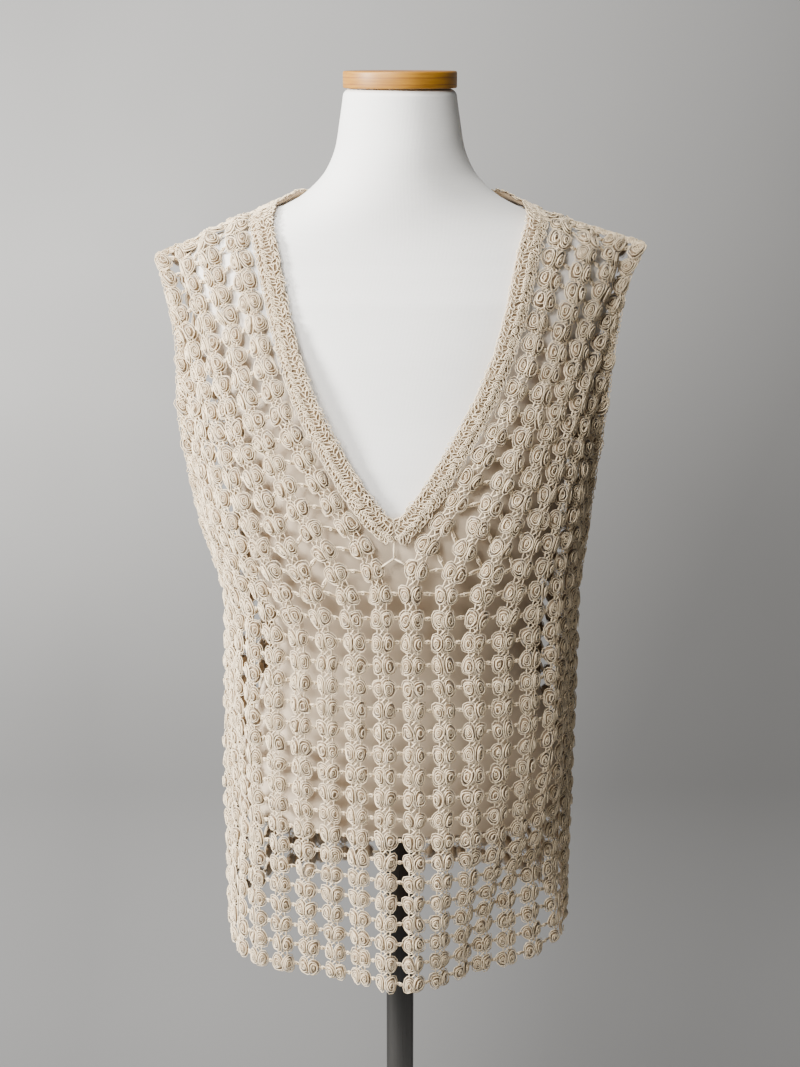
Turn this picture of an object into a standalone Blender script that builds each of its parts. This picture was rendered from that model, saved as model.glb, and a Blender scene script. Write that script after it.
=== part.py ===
"""Openwork crochet vest on a limbless linen dress form with a pole and a round base.

Metres, +Z up. The origin is on the floor under the middle of the base, and the front faces -Y.
Each cloth panel is a wall over one surface. A point of it has two coordinates: "along", the
arc length from the centre line across the panel, and "level", a place between the rows of
LEVELS, from 0 at the hem to TOP_LEVEL at the shoulder seam.
"""

import math

import bmesh
import bpy
import numpy as np

GAP = 0.0003              # between pieces that meet
SEAM = GAP / 2            # each panel stops this short of a seam
BAND_GAP = 0.0005         # between a panel and the neckband, whose edges bend over the shoulder
CLOTH = 0.002             # wall of the crochet cloth
RIB = 0.003               # how far a column of rosettes stands out of the wall
COLUMN = 0.0254           # from one column of rosettes to the next
HALF_ROUND = 9 * COLUMN   # centre line to side seam, below the armhole
BAND_WIDTH = 0.018        # neckband
BAND_RISE = 0.0008        # the neckband is this much thicker than the panels
SEAT = 0.0031             # cloth points to the form, enough for the flat facets between them

HIGH_SHOULDER = 0.1045    # inner edge of the neckband at the shoulder seam, from the middle
BACK_NECK_DEPTH = 0.028   # inner edge of the back neck under the shoulder point
BACK_EDGE_WIDTH = HIGH_SHOULDER + BAND_WIDTH
BACK_EDGE_DEPTH = BACK_NECK_DEPTH + BAND_WIDTH

FLOOR_PLATE = 0.008       # steel base, thickness
FLOOR_PLATE_RADIUS = 0.165
POLE_RADIUS = 0.0135
FLANGE_RADIUS = 0.042
FLANGE_THICK = 0.006
COLLAR_RADIUS = 0.024
COLLAR_HEIGHT = 0.035
TORSO_BOTTOM = 0.821
NECK_TOP = 1.466
CAP_TOP = 1.480
CAP_RADIUS = 0.0475
CAP_ROUND = 0.005

# Cloth levels, in millimetres. height is at the neck side of the row and edge at its left and
# right end, left and right are how far these ends lie from the form's axis, middle is where
# the row's centre line lies, and arc is its half length.
# seam_l and seam_r are how far behind the middle the side seam or armhole lies, and slit is
# how far each edge of the armhole lies from that line.
LEVELS = np.array([
    # height  edge_l  edge_r  left   right  middle  arc    seam_l seam_r slit
    (678.0,  678.0,  678.0,  170.0, 164.0,   0.0,  228.6,   8.0,  15.0,  0.0),   # hem
    (820.0,  820.0,  820.0,  171.0, 167.0,   0.0,  228.6,   5.0,   6.0,  0.0),   # below the form
    (950.0,  950.0,  950.0,  166.0, 168.0,  -1.0,  228.6,   4.0,   4.0,  0.0),   # waist
    (1030.0, 1030.0, 1030.0, 166.0, 168.0,  -3.0,  228.6,   2.0,   2.0,  0.0),   # underarm
    (1104.0, 1104.0, 1104.0, 180.0, 170.0,  -5.0,  219.0,   0.0,   0.0, 15.0),   # point of the V
    (1190.0, 1190.0, 1190.0, 193.0, 179.0,  -4.0,  216.0,   0.0,   0.0, 20.0),   # upper chest
    (1265.0, 1255.0, 1257.0, 194.0, 187.0,  -2.0,  212.0,   2.0,   2.0, 16.0),   # upper armhole
    (1329.0, 1298.0, 1305.0, 203.0, 197.0,  -1.0,  212.0,   4.0,   4.0,  8.0),   # below the top
    (1355.5, 1318.0, 1327.0, 209.0, 208.0,   0.0,  212.5,   5.0,   5.0,  3.0),   # over the top
    (1367.5, 1326.0, 1336.0, 211.5, 211.5,   0.0,  212.5,   6.0,   6.0,  0.0),   # shoulder seam
]) / 1000
(HEIGHT, EDGE_LEFT, EDGE_RIGHT, LEFT, RIGHT, MIDDLE, ARC, SEAM_LEFT, SEAM_RIGHT,
 SLIT) = range(10)
TOP_LEVEL = len(LEVELS) - 1
UNDERARM_LEVEL = 3.0

# How far the cloth lies in front of the middle, in millimetres, a row for each level and a
# column for each fifth of the way from the centre line to the left (-) or right (+) end.
FRONT_DEPTH = np.array([
    # -0.8   -0.6   -0.4   -0.2    0      0.2    0.4    0.6    0.8
    (44.0,   80.0,  92.0, 106.0, 124.0, 109.0,  77.0,  42.0,   0.0),
    (34.0,   74.0,  96.0, 110.0, 121.0, 118.0, 102.0,  74.0,  36.0),
    (40.0,   80.0, 100.0, 111.0, 116.0, 114.0, 103.0,  80.0,  37.0),
    (42.0,   80.0, 101.0, 111.0, 114.0, 112.0, 103.0,  82.0,  42.0),
    (55.0,   88.0, 105.0, 111.0, 112.0, 111.0, 105.0,  88.0,  55.0),
    (52.0,   79.0,  93.0,  97.0,  98.0,  97.0,  93.0,  79.0,  52.0),
    (38.0,   59.0,  71.0,  76.0,  77.0,  76.0,  71.0,  59.0,  38.0),
    (19.0,   33.0,  42.0,  45.0,  46.0,  45.0,  42.0,  33.0,  19.0),
    (4.0,    10.0,  16.0,  20.0,  21.0,  20.0,  16.0,  10.0,   4.0),
    (-6.0,   -6.0,  -6.0,  -6.0,  -6.0,  -6.0,  -6.0,  -6.0,  -6.0),
]) / 1000

# The same for the back panel, measured backwards from the middle.
BACK_DEPTH = np.array([
    # -0.8   -0.6   -0.4   -0.2    0      0.2    0.4    0.6    0.8
    (52.0,   90.0, 109.0, 118.0, 121.0, 118.0, 110.0,  96.0,  56.0),
    (46.0,   86.0, 108.0, 117.0, 119.0, 117.0, 108.0,  86.0,  46.0),
    (47.0,   88.0, 105.0, 111.0, 112.0, 111.0, 105.0,  88.0,  47.0),
    (46.0,   84.0, 101.0, 107.0, 108.0, 107.0, 101.0,  84.0,  46.0),
    (56.0,   86.0, 101.0, 106.0, 107.0, 106.0, 101.0,  86.0,  56.0),
    (57.0,   84.0, 100.0, 106.0, 107.0, 106.0, 100.0,  84.0,  57.0),
    (49.0,   73.0,  89.0,  96.0,  97.0,  96.0,  89.0,  73.0,  49.0),
    (34.0,   52.0,  66.0,  73.0,  75.0,  73.0,  66.0,  52.0,  34.0),
    (18.0,   28.0,  36.0,  40.0,  42.0,  40.0,  36.0,  28.0,  18.0),
    (6.0,     6.0,   6.0,   6.0,   6.0,   6.0,   6.0,   6.0,   6.0),
]) / 1000
KNOTS = FRONT_DEPTH.shape[1] + 2   # with the row's two ends

# Outer edge of the V neckband: height of the row and distance along it from the centre line.
V_EDGE = np.array([
    # height  along
    (1104.0,   0.0),
    (1120.0,  23.5),
    (1143.0,  41.0),
    (1167.0,  56.5),
    (1192.0,  71.5),
    (1220.0,  87.0),
    (1252.0, 101.0),
    (1285.0, 111.0),
    (1317.0, 117.0),
    (1345.0, 120.0),
    (1367.5, 122.5),
]) / 1000

# Dress form sections in millimetres: height, half width, depth to the front and to the back,
# and the power of the rounded outline, 2 for an ellipse and more for a squarer one.
FORM = np.array([
    # height  half    front  back   power
    (821.0,  157.0,   93.0, 112.0, 2.3),
    (870.0,  151.0,   90.0, 110.0, 2.3),
    (920.0,  133.0,   83.0,  96.0, 2.2),
    (975.0,  116.0,   77.0,  80.0, 2.1),
    (1020.0, 123.0,   86.0,  82.0, 2.1),
    (1065.0, 135.0,  101.0,  88.0, 2.2),
    (1110.0, 144.0,  107.0,  94.0, 2.2),
    (1155.0, 149.0,  100.0,  97.0, 2.2),
    (1200.0, 158.0,   88.0,  97.0, 2.2),
    (1250.0, 172.0,   76.0,  93.0, 2.1),
    (1295.0, 183.0,   64.0,  84.0, 2.1),
    (1319.0, 186.0,   56.0,  74.0, 2.0),
    (1335.0, 176.0,   52.0,  68.0, 2.0),
    (1350.0, 148.0,   50.0,  64.0, 2.0),
    (1364.0, 112.0,   50.0,  62.0, 2.0),
    (1378.0,  84.0,   51.0,  60.0, 2.0),
    (1396.0,  65.0,   52.0,  57.0, 2.0),
    (1416.0,  55.0,   52.0,  53.0, 2.0),
    (1440.0,  50.5,   49.0,  50.0, 2.0),
    (1466.0,  47.0,   46.5,  47.0, 2.0),
]) / np.array([1000, 1000, 1000, 1000, 1])
FORM_SIDES = 44

LOWER_ROWS = (0.0, 0.33, 0.66, 1.0, 1.4, 1.8, 2.2, 2.6, UNDERARM_LEVEL)
UPPER_STEPS = (0.07, 0.125, 0.2, 0.29, 0.38, 0.47, 0.55, 0.62, 0.69, 0.76, 0.83, 0.89, 0.95, 1.0)
STATIONS = 81             # points along a row where its depth is read


def spline_weights(places, count):
    """Catmull-Rom weights of each of count evenly spaced knots at each place from 0 to count-1."""
    places = np.clip(np.asarray(places, float), 0, count - 1)
    first = np.minimum(places.astype(int), count - 2)
    f = places - first
    parts = (
        (-1, (-f + 2 * f**2 - f**3) / 2),
        (0, (2 - 5 * f**2 + 3 * f**3) / 2),
        (1, (f + 4 * f**2 - 3 * f**3) / 2),
        (2, (-f**2 + f**3) / 2),
    )
    weights = np.zeros((len(places), count))
    for shift, part in parts:
        np.add.at(weights, (np.arange(len(places)), np.clip(first + shift, 0, count - 1)), part)
    return weights


STATION_WEIGHTS = spline_weights(np.linspace(0, KNOTS - 1, STATIONS), KNOTS)


def draped(side, along, level):
    """Points of the front (side -1) or back (side +1) panel before the form pushes them out.

    A row's depth is read along its arc, and its width follows from the depth's slope."""
    weights = spline_weights(level, len(LEVELS))
    row = weights @ LEVELS
    slit = np.clip(row[:, SLIT], 0, None)
    left_end = (slit + side * row[:, SEAM_LEFT])[:, None]
    right_end = (slit + side * row[:, SEAM_RIGHT])[:, None]
    knots = weights @ (FRONT_DEPTH if side < 0 else BACK_DEPTH)
    depth = np.concatenate([left_end, knots, right_end], axis=1) @ STATION_WEIGHTS.T
    step = 2 * row[:, ARC, None] / (STATIONS - 1)
    slope = np.clip(np.diff(depth, axis=1) / step, -0.97, 0.97)
    across = np.concatenate([np.zeros((len(row), 1)),
                             np.cumsum(np.sqrt(1 - slope**2), axis=1)], axis=1) * step
    place = (along / row[:, ARC] + 1) / 2 * (STATIONS - 1)
    place = np.clip(place, 0, STATIONS - 1.000001)
    cell = place.astype(int)
    part = place - cell
    rows = np.arange(len(row))
    centre = across[:, (STATIONS - 1) // 2]

    def read(table):
        return table[rows, cell] * (1 - part) + table[rows, cell + 1] * part

    offset = read(across) - centre
    left = (row[:, LEFT] + row[:, MIDDLE]) / centre
    right = (row[:, RIGHT] - row[:, MIDDLE]) / (across[:, -1] - centre)
    x = row[:, MIDDLE] + offset * np.where(offset < 0, left, right)
    y = side * read(depth)
    end = np.where(offset < 0, row[:, LEFT], row[:, RIGHT])
    end_height = np.where(offset < 0, row[:, EDGE_LEFT], row[:, EDGE_RIGHT])
    outward = np.clip((np.abs(x) - HIGH_SHOULDER) / (end - HIGH_SHOULDER), 0, 1)
    z = row[:, HEIGHT] + (end_height - row[:, HEIGHT]) * outward
    return np.stack([x, y, z], axis=1)


def form_section(z):
    """The dress form's half width, front and back depth and power at each height."""
    place = np.interp(z, FORM[:, 0], np.arange(len(FORM)))
    return (spline_weights(place, len(FORM)) @ FORM)[:, 1:].T


def form_reach(points):
    """1 on the form's surface, less inside it."""
    half, front, back, power = form_section(points[:, 2])
    middle = (back - front) / 2
    depth = (back + front) / 2
    total = (np.abs(points[:, 0] / half) ** power
             + np.abs((points[:, 1] - middle) / depth) ** power)
    return total ** (1 / power)


def clear_of_form(points, gap):
    """Moves each point that is inside the form, or closer than gap, out along its normal."""
    points = points.copy()
    for _ in range(6):
        reach = form_reach(points)
        slope = np.zeros_like(points)
        for axis in range(3):
            moved = points.copy()
            moved[:, axis] += 1e-5
            slope[:, axis] = (form_reach(moved) - reach) / 1e-5
        length = np.linalg.norm(slope, axis=1) + 1e-9
        need = np.clip(gap - (reach - 1) / length, 0, 0.02)
        points += slope / length[:, None] * need[:, None]
    return points


def cloth_points(side, along, level):
    """The inner face of the front (side -1) or back (side +1) panel."""
    along = np.asarray(along, float)
    level = np.asarray(level, float)
    return clear_of_form(draped(side, along, level), SEAT)


def cloth_normals(side, along, level):
    """Outward directions; at a seam both panels share one, so that their ends stay parallel."""
    along = np.asarray(along, float)
    level = np.asarray(level, float)
    step = 0.002
    across = cloth_points(side, along + step, level) - cloth_points(side, along - step, level)
    upper = np.minimum(level + 0.03, TOP_LEVEL)
    up = cloth_points(side, along, upper) - cloth_points(side, along, level - 0.03)
    normal = np.cross(across, up) * -side
    at_top = level > TOP_LEVEL - 0.02
    normal[at_top, 1] = 0
    at_side = (np.abs(along) > HALF_ROUND - 0.002) & (level < UNDERARM_LEVEL + 0.3)
    normal[at_side] = np.stack([np.sign(along), 0 * along, 0 * along], axis=1)[at_side]
    return normal / np.linalg.norm(normal, axis=1)[:, None]


def level_at(height):
    """The level whose neck-side height this is."""
    dense = np.linspace(0, TOP_LEVEL, 400)
    heights = spline_weights(dense, len(LEVELS)) @ LEVELS[:, HEIGHT]
    return np.interp(height, heights, dense)


def half_arc(level):
    """Half the length of the panel's row at each level, up to its side seam or armhole edge."""
    return spline_weights(np.atleast_1d(level), len(LEVELS)) @ LEVELS[:, ARC]


V_LEVEL = float(level_at(V_EDGE[0, 0]))
V_EDGE_LEVELS = level_at(V_EDGE[:, 0])


def v_edge(level):
    """Distance from the centre line to the outer edge of the V band, 0 below it."""
    return np.interp(level, V_EDGE_LEVELS, V_EDGE[:, 1])


def front_column(offset, level):
    """Where a column line runs: straight up from the hem, then outwards beside the V."""
    lead = min(0.8 * offset, 0.045) / 0.085
    spread = np.mean([v_edge(level + 2 * lead * part) for part in np.linspace(0, 1, 9)], axis=0)
    fan = 1 + 0.15 * np.exp(-(((level - V_LEVEL - 0.5) / 0.9) ** 2))
    return spread + offset * fan


def back_column(offset, level):
    """The back's columns run straight up."""
    return offset + 0 * np.asarray(level)


def back_neck_drop(offset):
    """Arc length from the shoulder seam down to the outer edge of the back neckband."""
    share = np.clip(offset / BACK_EDGE_WIDTH, 0, 1)
    return BACK_EDGE_DEPTH * math.sqrt(1 - share**2)


def level_below_top(side, along, drop):
    """The level that lies this far under the shoulder seam, measured on the cloth."""
    levels = np.linspace(TOP_LEVEL - 3, TOP_LEVEL, 90)
    line = draped(side, np.full(90, along), levels)
    steps = np.linalg.norm(np.diff(line, axis=0), axis=1)
    left = np.concatenate([[0], np.cumsum(steps[::-1])])
    return float(np.interp(drop, left, levels[::-1]))


def column_end(column, offset):
    """The level where a column line meets the armhole edge, or the shoulder seam."""
    levels = np.linspace(UNDERARM_LEVEL, TOP_LEVEL, 600)
    inside = column(offset, levels) < half_arc(levels)
    beyond = np.flatnonzero(~inside)
    return float(levels[beyond[0]]) if len(beyond) else float(TOP_LEVEL)


def column_lines():
    """Offsets of the lines that the walls are built on: each valley and each crest."""
    return [min(step * COLUMN / 2, HALF_ROUND - SEAM) for step in range(19)]


def back_lines():
    """The same with one more line beside the back neck's steep corner."""
    return sorted(column_lines() + [BACK_EDGE_WIDTH - 0.16 * COLUMN])


def rib_height(offset):
    """0 in a valley between two columns, RIB on the crest of a column."""
    return RIB * (0.5 - 0.5 * math.cos(2 * math.pi * offset / COLUMN))


def upper_levels(end, v_fixed=False):
    """Levels above the underarm, up to the line's own end; one falls on the point of the V."""
    levels = [UNDERARM_LEVEL + (end - UNDERARM_LEVEL) * step for step in UPPER_STEPS]
    if v_fixed:
        levels[1] = V_LEVEL
        for row in range(2, len(levels)):
            share = (UPPER_STEPS[row] - UPPER_STEPS[1]) / (1 - UPPER_STEPS[1])
            levels[row] = V_LEVEL + (end - V_LEVEL) * share
        levels[0] = (UNDERARM_LEVEL + V_LEVEL) / 2
    return levels


def front_half(hand):
    """Grid of (along, level, rise) for the left (-1) or right (+1) half of the front."""
    grid = []
    for offset in column_lines():
        end = column_end(front_column, offset)
        if end >= TOP_LEVEL:
            end = TOP_LEVEL - 0.012
        levels = list(LOWER_ROWS) + upper_levels(end, v_fixed=offset < 0.001)
        line = []
        for level in levels:
            along = float(front_column(offset, np.array([level]))[0])
            along = min(along, float(half_arc(level)[0]) - SEAM)
            if offset == 0 and level > V_LEVEL:
                along += BAND_GAP
            line.append((hand * along, level, rib_height(offset)))
        grid.append(line)
    return grid


def back_half(hand):
    """The same for the back, whose upper edge dips between the shoulders."""
    grid = []
    for offset in back_lines():
        corner = 0 <= offset - BACK_EDGE_WIDTH < COLUMN / 4
        end = column_end(back_column, offset)
        if offset < BACK_EDGE_WIDTH and not corner:
            end = level_below_top(1, offset, back_neck_drop(offset) + BAND_GAP)
        if end >= TOP_LEVEL:
            end = TOP_LEVEL - 0.012
        levels = list(LOWER_ROWS) + upper_levels(end)
        line = []
        for row, level in enumerate(levels):
            along = offset
            if corner:
                share = max(0, row - len(LOWER_ROWS)) / (len(levels) - 1 - len(LOWER_ROWS))
                along = offset + (BACK_EDGE_WIDTH + BAND_GAP - offset) * share
            along = min(along, float(half_arc(level)[0]) - SEAM)
            line.append((hand * along, level, rib_height(offset)))
        grid.append(line)
    return grid


def v_band_rows():
    """Outer and inner edge of the V band at each row of the front's own edge, in (along, level)."""
    rows = []
    levels = upper_levels(TOP_LEVEL - 0.012, v_fixed=True)[1:]
    levels[-1] = TOP_LEVEL
    for level in levels:
        here = float(v_edge(np.array([level]))[0])
        rise = 0.02
        ahead = float(v_edge(np.array([min(level + rise, TOP_LEVEL)]))[0])
        before = float(v_edge(np.array([level - rise]))[0])
        low = draped(-1, np.array([here]), np.array([level - rise]))[0]
        high = draped(-1, np.array([here]), np.array([min(level + rise, TOP_LEVEL)]))[0]
        climb = float(np.linalg.norm(high - low))
        turn = math.atan2(ahead - before, climb)
        if level == TOP_LEVEL:
            turn = 0.0
        per_level = climb / (min(level + rise, TOP_LEVEL) - level + rise)
        reach = BAND_WIDTH
        if here - reach * math.cos(turn) < 0:
            reach = here / math.cos(turn)
        if level == V_LEVEL:
            inner = (0.0, level + BAND_WIDTH * 0.35 / per_level)
        else:
            inner = (here - reach * math.cos(turn), level + reach * math.sin(turn) / per_level)
        lift = BAND_GAP / per_level if level == V_LEVEL else 0.0
        rows.append(((here, level + lift), inner))
    return rows


def back_band_rows():
    """Outer and inner edge of the back neckband, from the middle of the back to the seam."""
    rows = []
    for offset in back_lines():
        if offset > BACK_EDGE_WIDTH + COLUMN / 4:
            break
        corner = 0 <= offset - BACK_EDGE_WIDTH < COLUMN / 4
        share = 1.0 if corner else offset / BACK_EDGE_WIDTH
        outer_along = BACK_EDGE_WIDTH if corner else offset
        outer_drop = 0.0 if corner else back_neck_drop(offset)
        inner_along = HIGH_SHOULDER * share
        inner_drop = BACK_NECK_DEPTH * math.sqrt(1 - share**2)
        rows.append(((outer_along, level_below_top(1, outer_along, outer_drop)),
                     (inner_along, level_below_top(1, inner_along, inner_drop))))
    return rows


def make_material(name, colour, roughness, metallic=0.0):
    material = bpy.data.materials.new(name)
    material.use_nodes = True
    shader = material.node_tree.nodes["Principled BSDF"]
    shader.inputs["Base Color"].default_value = (*colour, 1)
    shader.inputs["Roughness"].default_value = roughness
    shader.inputs["Metallic"].default_value = metallic
    material.diffuse_color = (*colour, 1)
    return material


def add_mesh(name, points, faces, material, smooth=True):
    mesh = bpy.data.meshes.new(name)
    mesh.from_pydata([tuple(map(float, point)) for point in points], [], faces)
    body = bmesh.new()
    body.from_mesh(mesh)
    bmesh.ops.recalc_face_normals(body, faces=body.faces)
    body.to_mesh(mesh)
    body.free()
    if smooth:
        mesh.shade_smooth()
        mesh.set_sharp_from_angle(angle=math.radians(40))
    mesh.materials.append(material)
    thing = bpy.data.objects.new(name, mesh)
    PARTS.objects.link(thing)
    return thing


def add_wall(name, patches, thick, material):
    """A closed wall over patches of (side, grid), whose grids hold (along, level, rise).

    Points that coincide become one, so patches join where their edges meet."""
    inner = []
    outer = []
    quads = []
    for side, grid in patches:
        flat = np.array([point for line in grid for point in line])
        base = cloth_points(side, flat[:, 0], flat[:, 1])
        normal = cloth_normals(side, flat[:, 0], flat[:, 1])
        top = base + normal * (thick + flat[:, 2:3])
        index = []
        for low, high in zip(base, top):
            near = np.linalg.norm(np.array(inner or [(9, 9, 9)]) - low, axis=1)
            if near.min() < 1e-5:
                index.append(int(near.argmin()))
                continue
            index.append(len(inner))
            inner.append(low)
            outer.append(high)
        width = len(grid[0])
        for i in range(len(grid) - 1):
            for j in range(width - 1):
                corners = [index[i * width + j], index[i * width + j + 1],
                           index[(i + 1) * width + j + 1], index[(i + 1) * width + j]]
                corners = [c for n, c in enumerate(corners) if c not in corners[:n]]
                if len(corners) > 2:
                    mirrored = (grid[-1][0][0] < grid[0][0][0]) != (side > 0)
                    quads.append(corners[::-1] if mirrored else corners)
    count = len(inner)
    faces = [tuple(corners) for corners in quads]
    faces += [tuple(count + corner for corner in reversed(corners)) for corners in quads]
    edges = {}
    for corners in quads:
        for start, end in zip(corners, corners[1:] + corners[:1]):
            edges[(start, end)] = (end, start) not in edges
            if (end, start) in edges:
                edges[(end, start)] = False
    for (start, end), open_edge in edges.items():
        if open_edge:
            faces.append((end, start, count + start, count + end))
    return add_mesh(name, inner + outer, faces, material)


def add_front(material):
    return add_wall("vest_front", [(-1, front_half(-1)), (-1, front_half(1))], CLOTH, material)


def add_back(material):
    return add_wall("vest_back", [(1, back_half(-1)), (1, back_half(1))], CLOTH, material)


def add_neckband(material):
    """The V in front and the shallow back neck, one band that crosses both shoulder seams."""
    patches = []
    for hand in (-1, 1):
        for side, rows in ((-1, v_band_rows()), (1, back_band_rows())):
            grid = []
            for outer, inner in rows:
                line = []
                for share in (0.0, 0.5, 1.0):
                    along = outer[0] + (inner[0] - outer[0]) * share
                    level = outer[1] + (inner[1] - outer[1]) * share
                    line.append((hand * along, level, BAND_RISE * (1 + (share == 0.5))))
                grid.append(line)
            patches.append((side, grid))
    return add_wall("neckband", patches, CLOTH, material)


def add_form(material):
    """Rings from the bottom of the torso to the top of the neck, closed by flat ends."""
    heights = []
    for low, high in zip(FORM[:-1, 0], FORM[1:, 0]):
        heights += [low, (low + high) / 2]
    heights.append(FORM[-1, 0])
    half, front, back, power = form_section(np.array(heights))
    angles = np.arange(FORM_SIDES) * 2 * math.pi / FORM_SIDES
    points = []
    for ring, z in enumerate(heights):
        for angle in angles:
            cos, sin = math.cos(angle), math.sin(angle)
            x = half[ring] * math.copysign(abs(cos) ** (2 / power[ring]), cos)
            depth = (front[ring] + back[ring]) / 2
            y = depth * math.copysign(abs(sin) ** (2 / power[ring]), sin)
            points.append((x, y + (back[ring] - front[ring]) / 2, z))
    faces = [tuple(range(FORM_SIDES))[::-1]]
    for ring in range(len(heights) - 1):
        for side in range(FORM_SIDES):
            low = ring * FORM_SIDES + side
            next_low = ring * FORM_SIDES + (side + 1) % FORM_SIDES
            faces.append((low, next_low, next_low + FORM_SIDES, low + FORM_SIDES))
    faces.append(tuple(range(len(points) - FORM_SIDES, len(points))))
    return add_mesh("dress_form", points, faces, material)


def add_turned(name, profile, material, steps=40):
    """A solid turned about Z from (radius, height) pairs that run from top to bottom."""
    mesh = bpy.data.meshes.new(name)
    points = [(radius, 0, height) for radius, height in profile]
    mesh.from_pydata(points, [(i, i + 1) for i in range(len(points) - 1)], [])
    mesh.materials.append(material)
    thing = bpy.data.objects.new(name, mesh)
    screw = thing.modifiers.new("Turn", "SCREW")
    screw.steps = steps
    screw.render_steps = steps
    screw.use_merge_vertices = True
    screw.merge_threshold = 0.00005
    PARTS.objects.link(thing)
    return thing


def rounded_disc(radius, low, high, round_top, corners=3):
    """Profile of a disc whose upper edge is rounded."""
    profile = [(0, high)]
    for step in range(corners + 1):
        angle = math.pi / 2 * (1 - step / corners)
        profile.append((radius - round_top + round_top * math.cos(angle),
                        high - round_top + round_top * math.sin(angle)))
    return profile + [(radius, low), (0, low)]


def add_stand(wood, steel, paint):
    """Neck cap, pole with its flange under the torso, collar and base plate."""
    add_turned("neck_cap", rounded_disc(CAP_RADIUS, NECK_TOP + GAP, CAP_TOP, CAP_ROUND), wood)
    flange_top = TORSO_BOTTOM - GAP
    flange_low = flange_top - FLANGE_THICK
    add_turned("pole_flange", rounded_disc(FLANGE_RADIUS, flange_low, flange_top, 0.001, 1), steel)
    pole_low = FLOOR_PLATE + GAP
    pole_top = flange_low - GAP
    add_turned("pole", [(0, pole_top), (POLE_RADIUS, pole_top), (POLE_RADIUS, pole_low),
                        (0, pole_low)], steel, 28)
    collar_inner = POLE_RADIUS + GAP
    add_turned("base_collar", [(collar_inner, pole_low + COLLAR_HEIGHT),
                               (COLLAR_RADIUS - 0.004, pole_low + COLLAR_HEIGHT),
                               (COLLAR_RADIUS, pole_low + COLLAR_HEIGHT - 0.004),
                               (COLLAR_RADIUS, pole_low),
                               (collar_inner, pole_low),
                               (collar_inner, pole_low + COLLAR_HEIGHT)], steel, 28)
    add_turned("base_plate", rounded_disc(FLOOR_PLATE_RADIUS, 0, FLOOR_PLATE, 0.003), paint, 64)


for old in list(bpy.data.objects):
    bpy.data.objects.remove(old)
PARTS = bpy.data.collections.new("Crochet vest on dress form")
bpy.context.scene.collection.children.link(PARTS)

YARN = make_material("yarn", (0.72, 0.64, 0.53), 0.85)
LINEN = make_material("linen", (0.84, 0.82, 0.78), 0.9)
WOOD = make_material("wood", (0.66, 0.41, 0.17), 0.45)
STEEL = make_material("brushed_steel", (0.42, 0.42, 0.43), 0.3, 1.0)
PLATE = make_material("base_steel", (0.34, 0.34, 0.35), 0.4, 1.0)

add_front(YARN)
add_back(YARN)
add_neckband(YARN)
add_form(LINEN)
add_stand(WOOD, STEEL, PLATE)
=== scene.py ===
# %% [markdown]
# # A crochet vest on a dress form
# The solids that came with this object hold its sizes: a front and a back panel as plain walls
# with a raised rib for each column of rosettes, a neckband, a torso and its stand. This script
# dresses them. It puts every rosette of yarn where its column runs, crochets the neckband, covers
# the torso with linen and finishes the wood and the steel.
#
# First the frame is loaded. The boxes of its parts give the sizes of the turned pieces.

# %% Load the frame
import math

import bpy
import numpy as np
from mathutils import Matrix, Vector


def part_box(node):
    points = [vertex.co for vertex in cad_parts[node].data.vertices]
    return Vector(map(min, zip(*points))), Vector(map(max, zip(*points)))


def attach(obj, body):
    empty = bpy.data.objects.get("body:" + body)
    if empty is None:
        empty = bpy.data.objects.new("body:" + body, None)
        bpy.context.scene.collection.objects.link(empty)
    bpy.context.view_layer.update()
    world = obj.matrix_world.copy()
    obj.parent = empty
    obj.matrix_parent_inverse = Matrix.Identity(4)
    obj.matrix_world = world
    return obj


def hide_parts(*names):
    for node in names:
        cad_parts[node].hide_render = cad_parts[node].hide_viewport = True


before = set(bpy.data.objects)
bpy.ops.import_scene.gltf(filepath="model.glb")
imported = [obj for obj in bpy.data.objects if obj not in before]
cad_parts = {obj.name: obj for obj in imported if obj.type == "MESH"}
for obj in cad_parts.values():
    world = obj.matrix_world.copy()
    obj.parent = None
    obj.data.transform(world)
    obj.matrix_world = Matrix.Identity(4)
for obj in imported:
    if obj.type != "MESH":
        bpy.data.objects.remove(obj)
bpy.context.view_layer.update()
print("nodes:", sorted(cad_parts))

# %% [markdown]
# ## The camera
# The photo looks slightly down at the vest from the height of the neck cap. The camera stands
# in front of the form's axis, turned 17.4 degrees down. Its lens is given for a sensor of 36 mm
# along the picture's long side, so the picture's size in pixels doesn't matter.

# %% Camera
CAMERA_DISTANCE = 1.334
CAMERA_HEIGHT = 1.496
CAMERA_TILT = math.radians(17.4)


def add_to_scene(name, data):
    """An object that holds the data, linked into the scene."""
    thing = bpy.data.objects.new(name, data)
    bpy.context.scene.collection.objects.link(thing)
    return thing


camera_data = bpy.data.cameras.new("camera")
camera_data.lens = 52
camera_data.sensor_width = 36
camera_data.sensor_fit = "AUTO"
camera = add_to_scene("camera", camera_data)
camera.location = (0, -CAMERA_DISTANCE, CAMERA_HEIGHT)
camera.rotation_euler = (math.pi / 2 - CAMERA_TILT, 0, 0)
bpy.context.scene.camera = camera
print("camera at", tuple(camera.location))

# %% [markdown]
# ## The cut of the vest
# The real vest is worked in columns of rosettes, 25.4 mm apart, with a new rosette every 20.5 mm.
# 36 columns go round the body. The panels hang from the shoulders, so each row of the cloth is a
# curve in plan whose length never changes. It is easiest to say how far in front of the form's
# axis the cloth lies at a few places along that row: the row's width then follows from its slope.
# These are the same short tables that the walls are made from, a row for each level of the cloth.

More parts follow.
